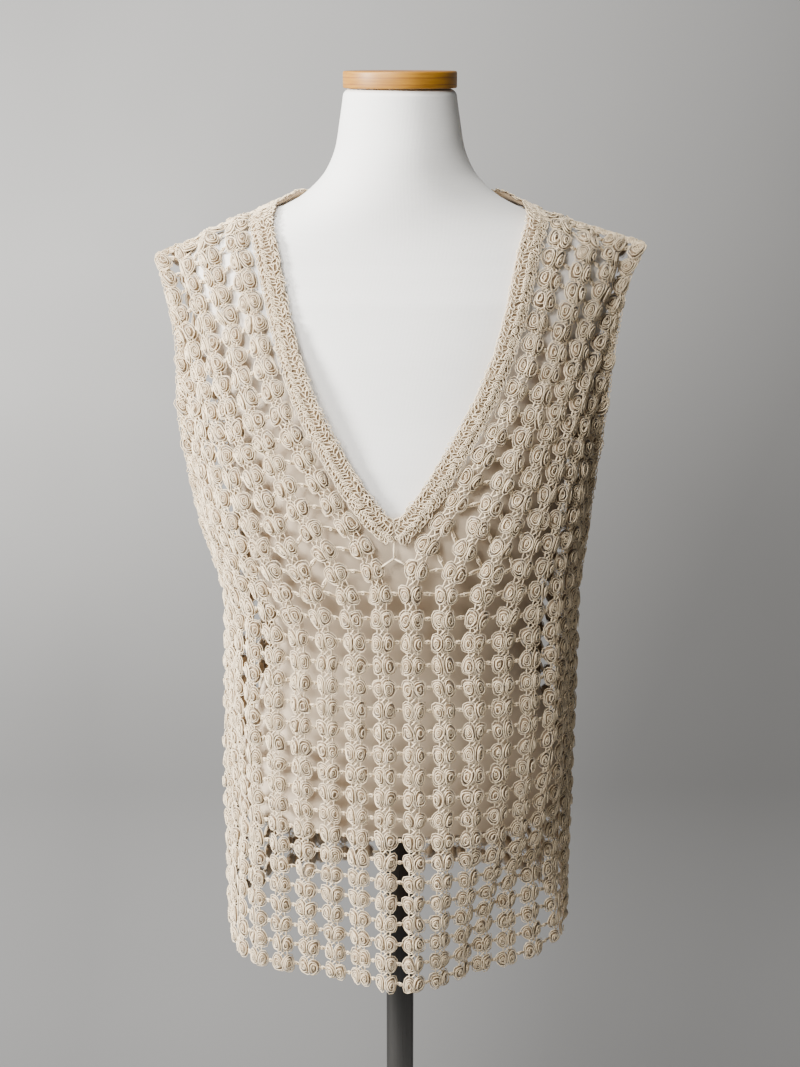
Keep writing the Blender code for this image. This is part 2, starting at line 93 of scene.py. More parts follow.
# %% Sizes and tables, in millimetres and then in metres
COLUMN = 0.0254            # from one column of rosettes to the next
ROW = 0.0205               # from one rosette to the next in its column
COLUMNS = 9                # columns between the centre line and a side seam
HALF_ROUND = COLUMNS * COLUMN
HIGH_SHOULDER = 0.1045     # inner edge of the neckband at the shoulder, from the axis
BAND_WIDTH = 0.018
BACK_NECK_HEIGHT = 1.354   # lower edge of the band behind the neck
BACK_BAND_RISE = 0.010     # how much higher its upper edge lies there
SEAT = 0.0031              # cloth to form
YARN = 0.00062             # radius of the yarn

# height at the neck side of the row and at its left and right end, how far these ends lie from
# the axis, where the centre line lies, half the row's length, how far behind the axis the left
# and the right seam or armhole lies, and half the width of the armhole's slit
LEVELS = np.array([
    (678, 678, 678, 170, 164, 0, 228.6, 8, 15, 0),
    (820, 820, 820, 171, 167, 0, 228.6, 5, 6, 0),
    (950, 950, 950, 166, 168, -1, 228.6, 4, 4, 0),
    (1030, 1030, 1030, 166, 168, -3, 228.6, 2, 2, 0),
    (1104, 1104, 1104, 180, 170, -5, 219, 0, 0, 15),
    (1190, 1190, 1190, 193, 179, -4, 216, 0, 0, 20),
    (1265, 1255, 1257, 194, 187, -2, 212, 2, 2, 16),
    (1329, 1298, 1305, 203, 197, -1, 212, 4, 4, 8),
    (1355.5, 1318, 1327, 209, 208, 0, 212.5, 5, 5, 3),
    (1367.5, 1326, 1336, 211.5, 211.5, 0, 212.5, 6, 6, 0),
]) / 1000
(HEIGHT, EDGE_LEFT, EDGE_RIGHT, LEFT, RIGHT, MIDDLE, ARC, SEAM_LEFT, SEAM_RIGHT,
 SLIT) = range(10)
TOP_LEVEL = len(LEVELS) - 1
UNDERARM_LEVEL = 3.0

# depth of the cloth in front of the axis, a column for each fifth from -0.8 to 0.8 of the row
FRONT_DEPTH = np.array([
    (44, 80, 92, 106, 124, 109, 77, 42, 0),
    (34, 74, 96, 110, 121, 118, 102, 74, 36),
    (40, 80, 100, 111, 116, 114, 103, 80, 37),
    (42, 80, 101, 111, 114, 112, 103, 82, 42),
    (55, 88, 105, 111, 112, 111, 105, 88, 55),
    (52, 79, 93, 97, 98, 97, 93, 79, 52),
    (38, 59, 71, 76, 77, 76, 71, 59, 38),
    (19, 33, 42, 45, 46, 45, 42, 33, 19),
    (4, 10, 16, 20, 21, 20, 16, 10, 4),
    (-6, -6, -6, -6, -6, -6, -6, -6, -6),
]) / 1000

# the same for the back, measured backwards
BACK_DEPTH = np.array([
    (52, 90, 109, 118, 121, 118, 110, 96, 56),
    (46, 86, 108, 117, 119, 117, 108, 86, 46),
    (47, 88, 105, 111, 112, 111, 105, 88, 47),
    (46, 84, 101, 107, 108, 107, 101, 84, 46),
    (56, 86, 101, 106, 107, 106, 101, 86, 56),
    (57, 84, 100, 106, 107, 106, 100, 84, 57),
    (49, 73, 89, 96, 97, 96, 89, 73, 49),
    (34, 52, 66, 73, 75, 73, 66, 52, 34),
    (18, 28, 36, 40, 42, 40, 36, 28, 18),
    (6, 6, 6, 6, 6, 6, 6, 6, 6),
]) / 1000

# outer edge of the V band: height, and distance from the centre line along the cloth
V_EDGE = np.array([
    (1104, 0),
    (1105, 6.5),
    (1109.5, 13.5),
    (1120, 24),
    (1143, 41),
    (1167, 56.5),
    (1192, 71.5),
    (1220, 87),
    (1252, 101),
    (1285, 111),
    (1317, 117),
    (1345, 120),
    (1367.5, 122.5),
]) / 1000

# the fan of columns on the front: height, then each column's distance from the centre line
FAN = np.array([
    (678, 12.7, 38.1, 63.5, 88.9, 114.3, 139.7, 165.1, 190.5, 215.9),
    (980, 12.7, 38.1, 63.5, 88.9, 114.3, 139.7, 165.1, 190.5, 215.9),
    (1020, 12.7, 38.4, 65, 91.5, 117, 141.5, 166, 191, 216),
    (1062, 13.3, 42.8, 74, 102.5, 126.5, 149.5, 171.5, 194, 217),
    (1080, 18, 50.5, 82, 109.5, 132.5, 155, 176.5, 198, 220),
    (1100, 26.5, 60.5, 91, 117, 139.5, 161.5, 183, 204, 225),
    (1132, 47.5, 79, 106, 130, 152.5, 175, 197, 219, 241),
    (1166, 70, 99, 124, 148, 171, 194, 217, 240, 263),
    (1201, 92, 119, 143.5, 167.5, 191.5, 215.5, 239.5, 264, 288),
    (1252, 116, 142, 167, 192, 217, 242, 267, 292, 317),
    (1317, 130.5, 156, 181.5, 207, 232, 258, 283, 308, 334),
    (1367.5, 135.5, 161, 186.5, 212, 237, 263, 288, 313, 339),
]) / 1000

# dress form sections: height, half width, depth to the front and back, power of the outline
FORM = np.array([
    (821, 157, 93, 112, 2.3),
    (870, 151, 90, 110, 2.3),
    (920, 133, 83, 96, 2.2),
    (975, 116, 77, 80, 2.1),
    (1020, 123, 86, 82, 2.1),
    (1065, 135, 101, 88, 2.2),
    (1110, 144, 107, 94, 2.2),
    (1155, 149, 100, 97, 2.2),
    (1200, 158, 88, 97, 2.2),
    (1250, 172, 76, 93, 2.1),
    (1295, 183, 64, 84, 2.1),
    (1319, 186, 56, 74, 2),
    (1335, 176, 52, 68, 2),
    (1350, 148, 50, 64, 2),
    (1364, 112, 50, 62, 2),
    (1378, 84, 51, 60, 2),
    (1396, 65, 52, 57, 2),
    (1416, 55, 52, 53, 2),
    (1440, 50.5, 49, 50, 2),
    (1466, 47, 46.5, 47, 2),
]) / np.array([1000, 1000, 1000, 1000, 1])
print("vest length", round((LEVELS[-1, 0] - LEVELS[0, 0]) * 1000), "mm, round",
      round(HALF_ROUND * 4000), "mm")

# %% [markdown]
# A smooth curve through evenly spaced values can be written as weights: at any place, each value
# counts for so much. With the weights as a matrix, one product reads a whole table at thousands
# of places at once, which is how numpy likes to work.


# %% Curves through the tables
def spline_weights(places, count):
    """Catmull-Rom weights: the cubic through four neighbouring values, two on each side."""
    places = np.clip(np.asarray(places, float), 0, count - 1)
    first = np.minimum(places.astype(int), count - 2)
    f = places - first
    parts = (
        (-1, (-f + 2 * f**2 - f**3) / 2),
        (0, (2 - 5 * f**2 + 3 * f**3) / 2),
        (1, (f + 4 * f**2 - 3 * f**3) / 2),
        (2, (-f**2 + f**3) / 2),
    )
    weights = np.zeros((len(places), count))
    for shift, part in parts:
        np.add.at(weights, (np.arange(len(places)), np.clip(first + shift, 0, count - 1)), part)
    return weights


STATIONS = 81
STATION_WEIGHTS = spline_weights(np.linspace(0, 10, STATIONS), 11)


def draped(side, share, level):
    """A row's points: depth read along the row, width from the length that is left.

    share runs from -1 to 1 along the row and side is -1 for the front, 1 for the back. Between
    two stations the cloth goes sideways by the root of 1 - slope squared of its length."""
    weights = spline_weights(level, len(LEVELS))
    row = weights @ LEVELS
    slit = np.clip(row[:, SLIT], 0, None)
    left_end = (slit + side * row[:, SEAM_LEFT])[:, None]
    right_end = (slit + side * row[:, SEAM_RIGHT])[:, None]
    knots = weights @ (FRONT_DEPTH if side < 0 else BACK_DEPTH)
    depth = np.concatenate([left_end, knots, right_end], axis=1) @ STATION_WEIGHTS.T
    step = 2 * row[:, ARC, None] / (STATIONS - 1)
    slope = np.clip(np.diff(depth, axis=1) / step, -0.97, 0.97)
    across = np.concatenate([np.zeros((len(row), 1)),
                             np.cumsum(np.sqrt(1 - slope**2), axis=1)], axis=1) * step
    place = np.clip((share + 1) / 2 * (STATIONS - 1), 0, STATIONS - 1.000001)
    cell = place.astype(int)
    part = place - cell
    rows = np.arange(len(row))
    centre = across[:, (STATIONS - 1) // 2]

    def read(table):
        return table[rows, cell] * (1 - part) + table[rows, cell + 1] * part

    offset = read(across) - centre
    left = (row[:, LEFT] + row[:, MIDDLE]) / centre
    right = (row[:, RIGHT] - row[:, MIDDLE]) / (across[:, -1] - centre)
    x = row[:, MIDDLE] + offset * np.where(offset < 0, left, right)
    end = np.where(offset < 0, row[:, LEFT], row[:, RIGHT])
    end_height = np.where(offset < 0, row[:, EDGE_LEFT], row[:, EDGE_RIGHT])
    outward = np.clip((np.abs(x) - HIGH_SHOULDER) / (end - HIGH_SHOULDER), 0, 1)
    z = row[:, HEIGHT] + (end_height - row[:, HEIGHT]) * outward
    return np.stack([x, side * read(depth), z], axis=1)


def half_arc(level):
    """Half the row's length at each level."""
    return spline_weights(np.atleast_1d(level), len(LEVELS)) @ LEVELS[:, ARC]


# %% [markdown]
# The cloth rests on the form's shoulders. The form is a stack of rounded outlines, so a formula
# says how far out a point is: below 1 it is inside. Points that come out too close are pushed out
# along that formula's slope, which is the direction that a real shoulder pushes cloth.


# %% The form's outline, and the push
def form_section(z):
    """Half width, front depth, back depth and power at each height."""
    place = np.interp(z, FORM[:, 0], np.arange(len(FORM)))
    return (spline_weights(place, len(FORM)) @ FORM)[:, 1:].T


def form_reach(points):
    """Superellipse: the power-th root of the sum of both powers, 1 on the surface."""
    half, front, back, power = form_section(points[:, 2])
    total = (np.abs(points[:, 0] / half) ** power
             + np.abs((points[:, 1] - (back - front) / 2) / ((back + front) / 2)) ** power)
    return total ** (1 / power)


def clear_of_form(points, gap, rounds=6, nudge=1e-5, largest=0.02):
    """Newton steps along the slope of form_reach until each point is gap outside.

    The slope is how much the reach changes when a point is moved by nudge along each axis."""
    points = points.copy()
    for _ in range(rounds):
        reach = form_reach(points)
        slope = np.zeros_like(points)
        for axis in range(3):
            moved = points.copy()
            moved[:, axis] += nudge
            slope[:, axis] = (form_reach(moved) - reach) / nudge
        length = np.linalg.norm(slope, axis=1) + 1e-9
        need = np.clip(gap - (reach - 1) / length, 0, largest)
        points += slope / length[:, None] * need[:, None]
    return points


# %% [markdown]
# Thousands of rosettes ask where the cloth is. Working each out anew would be slow, so both
# panels are worked out once on a fine net, with their outward directions, and read from there.

# %% Both panels as nets of points
NET_LEVELS = np.linspace(0, TOP_LEVEL, 361)
NET_SHARES = np.linspace(-1, 1, 121)


def panel_net(side):
    """Points and outward normals (cross product of the two directions of the net)."""
    level, share = np.meshgrid(NET_LEVELS, NET_SHARES, indexing="ij")
    points = clear_of_form(draped(side, share.ravel(), level.ravel()), SEAT)
    points = points.reshape(level.shape + (3,))
    up = np.gradient(points, axis=0)
    across = np.gradient(points, axis=1)
    normal = np.cross(across, up) * -side
    return points, normal / np.linalg.norm(normal, axis=2, keepdims=True)


NETS = {side: panel_net(side) for side in (-1, 1)}


def cloth(side, along, level):
    """Reads a panel's point and normal between the four nearest points of its net."""
    along, level = np.broadcast_arrays(np.asarray(along, float), np.asarray(level, float))
    share = along / half_arc(level.ravel()).reshape(level.shape)
    i = np.clip(level / TOP_LEVEL * (len(NET_LEVELS) - 1), 0, len(NET_LEVELS) - 1.0001)
    j = np.clip((share + 1) / 2 * (len(NET_SHARES) - 1), 0, len(NET_SHARES) - 1.0001)
    i0, j0 = i.astype(int), j.astype(int)
    a, b = (i - i0)[..., None], (j - j0)[..., None]

    def read(net):
        low = net[i0, j0] * (1 - b) + net[i0, j0 + 1] * b
        return low * (1 - a) + (net[i0 + 1, j0] * (1 - b) + net[i0 + 1, j0 + 1] * b) * a

    point, normal = (read(net) for net in NETS[side])
    over = np.clip(np.abs(share) - 1, 0, None) * np.sign(share) * HALF_ROUND
    edge = read(np.gradient(NETS[side][0], axis=1))
    edge = edge / np.linalg.norm(edge, axis=-1, keepdims=True)
    point = point + edge * over[..., None]
    return point, normal / np.linalg.norm(normal, axis=-1, keepdims=True)


print("net of", NETS[-1][0].shape[0], "levels by", NETS[-1][0].shape[1], "places")

# %% [markdown]
# ## Where the columns run
# On the back the columns run straight up. On the front they do so up to the point of the V and
# then turn outwards beside it, like the grain of a fan, until they meet the edge of the armhole.
# Each column is followed in small steps, and its rosettes are set at equal lengths along it.


# %% Column lines
PROBES = np.linspace(0, TOP_LEVEL, 400)    # levels at which heights are looked up


def level_at(height):
    """The level whose neck-side height this is."""
    heights = spline_weights(PROBES, len(LEVELS)) @ LEVELS[:, HEIGHT]
    return np.interp(height, heights, PROBES)


V_LEVEL = float(level_at(V_EDGE[0, 0]))
V_EDGE_LEVELS = level_at(V_EDGE[:, 0])
BACK_EDGE_WIDTH = HIGH_SHOULDER + BAND_WIDTH


def v_edge(level):
    """Distance of the V band's outer edge from the centre line, 0 under it."""
    return np.interp(level, V_EDGE_LEVELS, V_EDGE[:, 1])


def back_edge(share, angle):
    """Along and level of the back neckline: a quarter ellipse from the shoulder (angle 0)
    to its lowest point behind the neck, higher and narrower for the band's inner lines."""
    half = BACK_EDGE_WIDTH - BAND_WIDTH * share
    heights = cloth(1, np.zeros(len(PROBES)), PROBES)[0][:, 2]
    low = np.interp(BACK_NECK_HEIGHT + BACK_BAND_RISE * share, heights, PROBES)
    return half * np.cos(angle), TOP_LEVEL - (TOP_LEVEL - low) * np.sin(angle)


def front_column(step, level):
    """Distance of a column from the centre line, read smoothly from the fan's table."""
    place = np.interp(level, level_at(FAN[:, 0]), np.arange(len(FAN)))
    return spline_weights(place, len(FAN)) @ FAN[:, 1 + step]


def lengths_along(points):
    """Length from the first point to each point of a line."""
    steps = np.linalg.norm(np.diff(points, axis=0), axis=1)
    return np.concatenate([[0], np.cumsum(steps)])


FINE_LEVELS = np.linspace(0, TOP_LEVEL, 721)
COIL_CENTRE = 0.0039       # coil centre to the middle of its rosette
BUNCHING = 0.12            # b in rosette_centres, for the front columns at the shoulders
NEAR = 0.05                # in levels, for measuring how steeply a column runs


def column_line(side, step, hand):
    """Along and level of a column from the hem to its end, with the length so far."""
    offset = (step + 0.5) * COLUMN
    if side < 0:
        along = front_column(step, FINE_LEVELS)
    else:
        along = np.full(len(FINE_LEVELS), offset)
    points, _ = cloth(side, hand * along, FINE_LEVELS)
    length = lengths_along(points)
    end = length[-1]
    outside = np.flatnonzero((along - COIL_CENTRE > half_arc(FINE_LEVELS))
                             & (FINE_LEVELS > UNDERARM_LEVEL))
    if len(outside):
        end = length[outside[0]]
    if side > 0 and offset < BACK_EDGE_WIDTH:
        _, level = back_edge(0.0, math.acos(offset / BACK_EDGE_WIDTH))
        end = np.interp(level, FINE_LEVELS, length)
    return along * hand, length, end


def rosette_centres(side, step, hand):
    """Equal steps of ROW up to the underarm, then steps stretched to end at the edge.

    Each rosette has its place, its lean and how many metres of its column make one level.
    Where a front column reaches the shoulder its last rosettes are bunched: a place s from 0
    to 1 moves to s + b s (1 - s squared), so the steps shrink towards the end."""
    along, length, end = column_line(side, step, hand)
    low_part = np.interp(UNDERARM_LEVEL, FINE_LEVELS, length)
    low_count = int(low_part // ROW)
    upper = end - low_count * ROW
    bunch = BUNCHING if side < 0 and end > 0.95 * length[-1] else 0.0
    upper_count = max(0, int(round(upper / ROW - 0.1 + 8 * bunch)))
    places = list((np.arange(low_count) + 0.5) * ROW)
    if upper_count:
        share = (np.arange(upper_count) + 0.5) / upper_count
        places += list(low_count * ROW + (share + bunch * share * (1 - share ** 2)) * upper)
    level = np.interp(places, length, FINE_LEVELS)
    here = np.interp(level, FINE_LEVELS, along)
    ahead, climb = (np.interp(level + NEAR, FINE_LEVELS, values)
                    - np.interp(level - NEAR, FINE_LEVELS, values) for values in (along, length))
    lean = np.arcsin(np.clip(ahead / climb, -0.9, 0.9))
    rate = climb / (np.minimum(level + NEAR, TOP_LEVEL) - np.maximum(level - NEAR, 0))
    return {"along": here, "level": level, "lean": lean, "rate": rate}


# %% [markdown]
# ## Yarn
# Everything is made of the same yarn, a little over a millimetre thick. Two forms are enough. A
# ring is an oval loop of yarn, and a strand goes from one point to another in a low arc. Both are
# tubes of three sides: they are smooth shaded and so small that the eye sees them as round.


# %% Rings and strands as arrays of points and faces
def add_mesh(name, mesh, material, sharp=None):
    """Smooth shades a mesh, apart from edges sharper than an angle, and puts it in the scene."""
    mesh.shade_smooth()
    if sharp is not None:
        mesh.set_sharp_from_angle(angle=math.radians(sharp))
    mesh.materials.append(material)
    return add_to_scene(name, mesh)


class Yarns:
    """Collects tubes. Each call adds many alike at once and keeps each point's painted lightness."""

    def __init__(self):
        self.points, self.quads, self.triangles, self.painted_light = [], [], [], []
        self.count = 0

    def add(self, points, quads, triangles, painted_light):
        """points (copies, each, 3) share one list of faces, shifted for each copy."""
        copies, each = points.shape[:2]
        shift = self.count + np.arange(copies)[:, None, None] * each
        self.points.append(points.reshape(-1, 3))
        # painted lightness of each point: low values are painted shade
        self.painted_light.append(np.broadcast_to(painted_light, (copies, each)).ravel())
        self.quads.append((np.asarray(quads)[None] + shift).reshape(-1, 4))
        if len(triangles):
            self.triangles.append((np.asarray(triangles)[None] + shift).reshape(-1, 3))
        self.count += copies * each

    def mesh(self, name, material):
        """Joins all tubes into one mesh, with each point's painted lightness as an attribute."""
        points = np.concatenate(self.points)
        quads = np.concatenate(self.quads)
        triangles = np.concatenate(self.triangles) if self.triangles else np.zeros((0, 3), int)
        mesh = bpy.data.meshes.new(name)
        mesh.vertices.add(len(points))
        mesh.vertices.foreach_set("co", points.astype(np.float32).ravel())
        mesh.loops.add(quads.size + triangles.size)
        mesh.loops.foreach_set("vertex_index",
                               np.concatenate([quads.ravel(), triangles.ravel()]).astype(np.int32))
        starts = np.concatenate([np.arange(len(quads)) * 4,
                                 quads.size + np.arange(len(triangles)) * 3])
        mesh.polygons.add(len(starts))
        mesh.polygons.foreach_set("loop_start", starts.astype(np.int32))
        mesh.update(calc_edges=True)
        painted_light = mesh.attributes.new("painted_light", "FLOAT", "POINT")
        painted_light.data.foreach_set("value", np.concatenate(self.painted_light).astype(np.float32))
        print(name, len(quads) * 2 + len(triangles), "triangles")
        return add_mesh(name, mesh, material)


SIDES = 3


def tube_quads(rings, around):
    """Each face joins two neighbours along the tube and two round it."""
    i, k = np.meshgrid(np.arange(rings - 1), np.arange(around), indexing="ij")
    i, k = i.ravel() * around, k.ravel()
    k2 = (k + 1) % around
    return np.stack([i + k, i + around + k, i + around + k2, i + k2], axis=1)


def ring_faces(rings, around):
    """A tube that meets itself: the remainder turns the ring after the last into the first."""
    return tube_quads(rings + 1, around) % (rings * around)


TURN = np.arange(SIDES) * 2 * math.pi / SIDES + math.pi / 2
# painted shade: the yarn's upper line at full lightness, its flanks darker where strands shade each
# other
PAINTED_FLANK_SHADE = np.where(np.sin(TURN) > 0.9, 1.0, 0.35)  # lightness of the yarn's upper line and flanks


def add_rings(yarns, place, u, v, w, half_u, half_v, rise, steps, radius, wobble=0.0, phase=0.0,
              inner=1.0, painted_ring_light=1.0):
    """Oval loops round each place: cosine along u and sine along v, at a height along w.

    inner narrows the half that lies against u, so that an oval becomes an egg or a D."""
    angle = np.arange(steps) * 2 * math.pi / steps + math.pi / steps
    cos, sin = np.cos(angle), np.sin(angle)
    half_u, half_v, rise, phase = (np.broadcast_to(np.asarray(value, float), (len(place),))
                                   for value in (half_u, half_v, rise, phase))
    wave = 1 + wobble * np.sin(3 * angle[None] + phase[:, None])
    full_cos, full_sin = (np.sign(value) * np.abs(value) ** 0.85 for value in (cos, sin))
    a = half_u[:, None] * full_cos * wave * np.where(cos < 0, inner, 1.0)
    b = half_v[:, None] * full_sin * wave
    out_u = cos * half_v[:, None]
    out_v = sin * half_u[:, None]
    size = np.hypot(out_u, out_v)
    out_u, out_v = out_u / size, out_v / size
    across = a[:, :, None] + out_u[:, :, None] * radius * np.cos(TURN)
    upward = b[:, :, None] + out_v[:, :, None] * radius * np.cos(TURN)
    swell = radius * wobble * 6 * np.sin(2 * angle[None] + 2 * phase[:, None])
    outward = (rise[:, None] + swell)[:, :, None] + radius * np.sin(TURN)
    points = (place[:, None, None] + across[..., None] * u[:, None, None]
              + upward[..., None] * v[:, None, None] + outward[..., None] * w[:, None, None])
    # painted shade: the flanks and the darker rings get a lower painted lightness
    painted_light = np.tile(PAINTED_FLANK_SHADE * painted_ring_light, steps)
    yarns.add(points.reshape(len(place), -1, 3), ring_faces(steps, SIDES), [], painted_light)


def add_pads(yarns, place, u, v, w, half_u, half_v, low, high, inner=1.0, steps=10):
    """Flat lenses under the loops: the yarn closing a coil from within, in dark painted shade."""
    angle = np.arange(steps) * 2 * math.pi / steps
    cos, sin = np.cos(angle), np.sin(angle)
    a = half_u[:, None, None] * (cos * np.where(cos < 0, inner, 1.0))[None, :, None]
    b = half_v[:, None, None] * sin[None, :, None]
    rim = place[:, None] + a * u[:, None] + b * v[:, None] + (low + high) / 2 * w[:, None]
    tips = np.stack([place + high * w, place + low * w], axis=1)
    k = np.arange(steps)
    k2 = (k + 1) % steps
    fans = np.concatenate([np.stack([k * 0 + steps, k, k2], axis=1),
                           np.stack([k * 0 + steps + 1, k2, k], axis=1)])
    # lightness 0: the pads are painted shade
    yarns.add(np.concatenate([rim, tips], axis=1), np.zeros((0, 4), int), fans, 0.0)


def add_ribbon(yarns, lines, low, high, count=150):
    """A closed flat strip between two lines of (points, normals): an edging's ground, in painted
    shade.
    """
    corners = []
    for (points, out), height in zip((lines[0], lines[1], lines[1], lines[0]),
                                     (low, low, high, high)):
        length = lengths_along(points)
        places = np.linspace(0, length[-1], count)
        corners.append(np.stack([np.interp(places, length, (points + out * height)[:, axis])
                                 for axis in range(3)], axis=1))
    points = np.stack(corners, axis=1).reshape(1, -1, 3)
    last = (count - 1) * 4
    ends = [[3, 2, 1, 0], [last, last + 1, last + 2, last + 3]]
    quads = np.concatenate([tube_quads(count, 4), ends])
    middle = points[0, :4].mean(axis=0)
    face = points[0][quads[0]]
    if np.cross(face[1] - face[0], face[2] - face[0]) @ (face.mean(axis=0) - middle) < 0:
        quads = quads[:, ::-1]
    # lightness 0: the ground is painted shade
    yarns.add(points, quads, [], 0.0)


def add_strands(yarns, start, finish, out, arc, radius, segments=3):
    """Tubes from start to finish: a straight line plus a half sine wave along out."""
    if not len(start):
        return
    t = np.linspace(0, 1, segments + 1)
    line = (start[:, None] * (1 - t)[None, :, None] + finish[:, None] * t[None, :, None]
            + out[:, None] * (np.sin(math.pi * t) * arc)[None, :, None])
    along = finish - start
    along = along / (np.linalg.norm(along, axis=1, keepdims=True) + 1e-9)
    side = np.cross(along, out)
    side = side / (np.linalg.norm(side, axis=1, keepdims=True) + 1e-9)
    over = np.cross(side, along)
    points = (line[:, :, None] + radius * np.cos(TURN)[None, None, :, None] * side[:, None, None]
              + radius * np.sin(TURN)[None, None, :, None] * over[:, None, None])
    last = segments * SIDES
    caps = [[0, 1, 2], [last + 2, last + 1, last]]
    yarns.add(points.reshape(len(start), -1, 3), tube_quads(segments + 1, SIDES), caps,
              np.tile(PAINTED_FLANK_SHADE, segments + 1))


# %% [markdown]
# ## Rosettes
# One rosette is two coils side by side with a valley between them. In the real work the yarn is
# wound round itself, so a coil shows as loops, one inside the other. Each coil is flatter towards
# the valley and leans away from it, which makes the rosette a low dome with a light and a shaded
# half. No two are alike: their size, turn and wobble are drawn from a seeded random generator, so
# that they are the same in every run.

# %% The coil
COIL_HALF_WIDTH = 0.0062   # away from the valley
COIL_HALF_HEIGHT = 0.0090
COIL_LEAN = 0.39
COIL_MARGIN = 0.0062       # coil centre to the seam or the armhole's edge, at least
STRAND_MARGIN = 0.0065     # the same for the strands between rosettes
STRAND_REACH = 0.0074      # from a rosette's middle up or down to where its strands start
BAR_LENGTH = 0.018         # no bar spans more than this
LOOK_AHEAD = 0.003         # step up a column that gives its direction
LEVEL_HEIGHT = 0.08        # what one level is, roughly, in metres
COIL_RINGS = (
    # share of the size, height over the wall, steps round, painted lightness (below 1: painted shade)
    (1.00, 0.0014, 12, 1.0),
    (0.78, 0.0026, 11, 1.0),
    (0.56, 0.0033, 9, 1.0),
    (0.34, 0.0036, 7, 1.0),
    (0.13, 0.0033, 5, 0.9),
)
random = np.random.default_rng(7)


def frame_at(side, along, level, lean):
    """Place, direction across the column, direction up it and outward normal."""
    point, normal = cloth(side, along, level)
    ahead, _ = cloth(side, along + LOOK_AHEAD * np.sin(lean),
                     level + LOOK_AHEAD * np.cos(lean) / LEVEL_HEIGHT)
    up = ahead - point
    up -= normal * np.sum(up * normal, axis=1, keepdims=True)
    up /= np.linalg.norm(up, axis=1, keepdims=True) + 1e-9
    return point, np.cross(up, normal), up, normal


def turned(u, v, angle):
    """Two directions turned towards each other: cosine of one and sine of the other."""
    return u * np.cos(angle) + v * np.sin(angle), v * np.cos(angle) - u * np.sin(angle)


def inside_edge(along, level, margin):
    """Pulls places in, so that they stay margin inside the seam or the armhole."""
    return np.clip(along, margin - half_arc(level), half_arc(level) - margin)


def add_coils(yarns, side, column, which):
    """One coil of every rosette of a column, left (-1) or right (+1) of its middle.

    Where the armhole cuts a column, the coils beyond its edge are left out. The coils on the
    edge are pulled in, so that half a rosette ends the row. No V is cut out of the back, so it
    has more rosettes, and each of its rings has one step less round."""
    shift = which * COIL_CENTRE * -side
    along = column["along"] + shift * np.cos(column["lean"])
    level = column["level"] - shift * np.sin(column["lean"]) / column["rate"]
    kept = np.abs(along) < half_arc(level) + 0.0005
    along, level, lean = along[kept], level[kept], column["lean"][kept]
    place, u, v, w = frame_at(side, inside_edge(along, level, COIL_MARGIN), level, lean)
    if which < 0:
        u, v = -u, -v
    count = len(place)
    u, v = turned(u, v, random.normal(0, 0.12, count)[:, None])
    w, u = turned(w, u, random.normal(COIL_LEAN, 0.14, count)[:, None])
    wide = COIL_HALF_WIDTH * random.uniform(0.92, 1.08, count)
    high = COIL_HALF_HEIGHT * random.uniform(0.93, 1.05, count)
    phase = random.uniform(0, 2 * math.pi, count)
    add_pads(yarns, place, u, v, w, wide * 0.94, high * 0.92, -0.0004, 0.0022, 0.92)
    for share, rise, steps, painted_ring_light in COIL_RINGS:
        drift = random.normal(0, 0.00045, (count, 3))
        add_rings(yarns, place + drift * (share < 1), u, v, w, wide * share,
                  high * share + 0.0005 * (1 - share), rise + random.normal(0, 0.00025, count),
                  steps - (side > 0), YARN * 0.77, 0.09, phase + 2 * share, 0.92, painted_ring_light)
    return place + u * COIL_HALF_WIDTH * 0.85, w


def add_column(yarns, side, column):
    """Rosettes of a column and the strands that join each to the next: two cross, two don't."""
    left = add_coils(yarns, side, column, -1)
    right = add_coils(yarns, side, column, 1)
    middle, u, v, w = frame_at(side, inside_edge(column["along"], column["level"], STRAND_MARGIN),
                               column["level"], column["lean"])
    top = middle + v * STRAND_REACH + w * 0.0012
    bottom = middle - v * STRAND_REACH + w * 0.0012
    for start, finish, arc in ((-0.0028, 0.0024, 0.0012), (0.0028, -0.0024, 0.0005),
                               (-0.0042, -0.0044, 0.0), (0.0042, 0.0044, 0.0)):
        add_strands(yarns, top[:-1] + u[:-1] * start, bottom[1:] + u[1:] * finish, w[:-1], arc,
                    YARN * 1.15, 2)
    return {"left": left, "right": right, "middle": (middle, w)}


# %% [markdown]
# ## The mesh between the columns
# A short bar of chain stitches ties the side of each rosette to its neighbour in the next column.
# Every rosette looks for the nearest one over there. A pair of arched strands joins them, with a
# small knot in the middle.


# %% Bars between columns
def add_bars(yarns, column, neighbour, own="right", other="left"):
    """Nearest pairs by distance; each bar is two strands that bulge apart round a small knot."""
    (start, out), (targets, _) = column[own], neighbour[other]
    gaps = np.linalg.norm(start[:, None] - targets[None], axis=2)
    nearest = gaps.argmin(axis=1)
    keep = gaps.min(axis=1) < BAR_LENGTH
    start, finish, out = start[keep], targets[nearest[keep]], out[keep]
    apart = np.cross(finish - start, out)
    apart /= np.linalg.norm(apart, axis=1, keepdims=True) + 1e-9
    for hand in (-1, 1):
        add_strands(yarns, start + out * 0.001, finish + out * 0.001, apart * hand, 0.0012,
                    YARN * 1.4, 2)
    place = start + (finish - start) * random.uniform(0.35, 0.6, len(start))[:, None]
    add_rings(yarns, place, np.cross(apart, out), apart, out, 0.0014, 0.0011, 0.0019, 6, YARN)


# %% [markdown]
# The vest is crocheted from four fields of columns: left and right of the front and of the back.
# Each field is a piece of its own, which also keeps every mesh to a size that other programs
# like. First comes what the yarn looks like. Shader nodes are written as sums and products here:
# a small class wraps a node's output, and an operator on it adds the node for that operation.

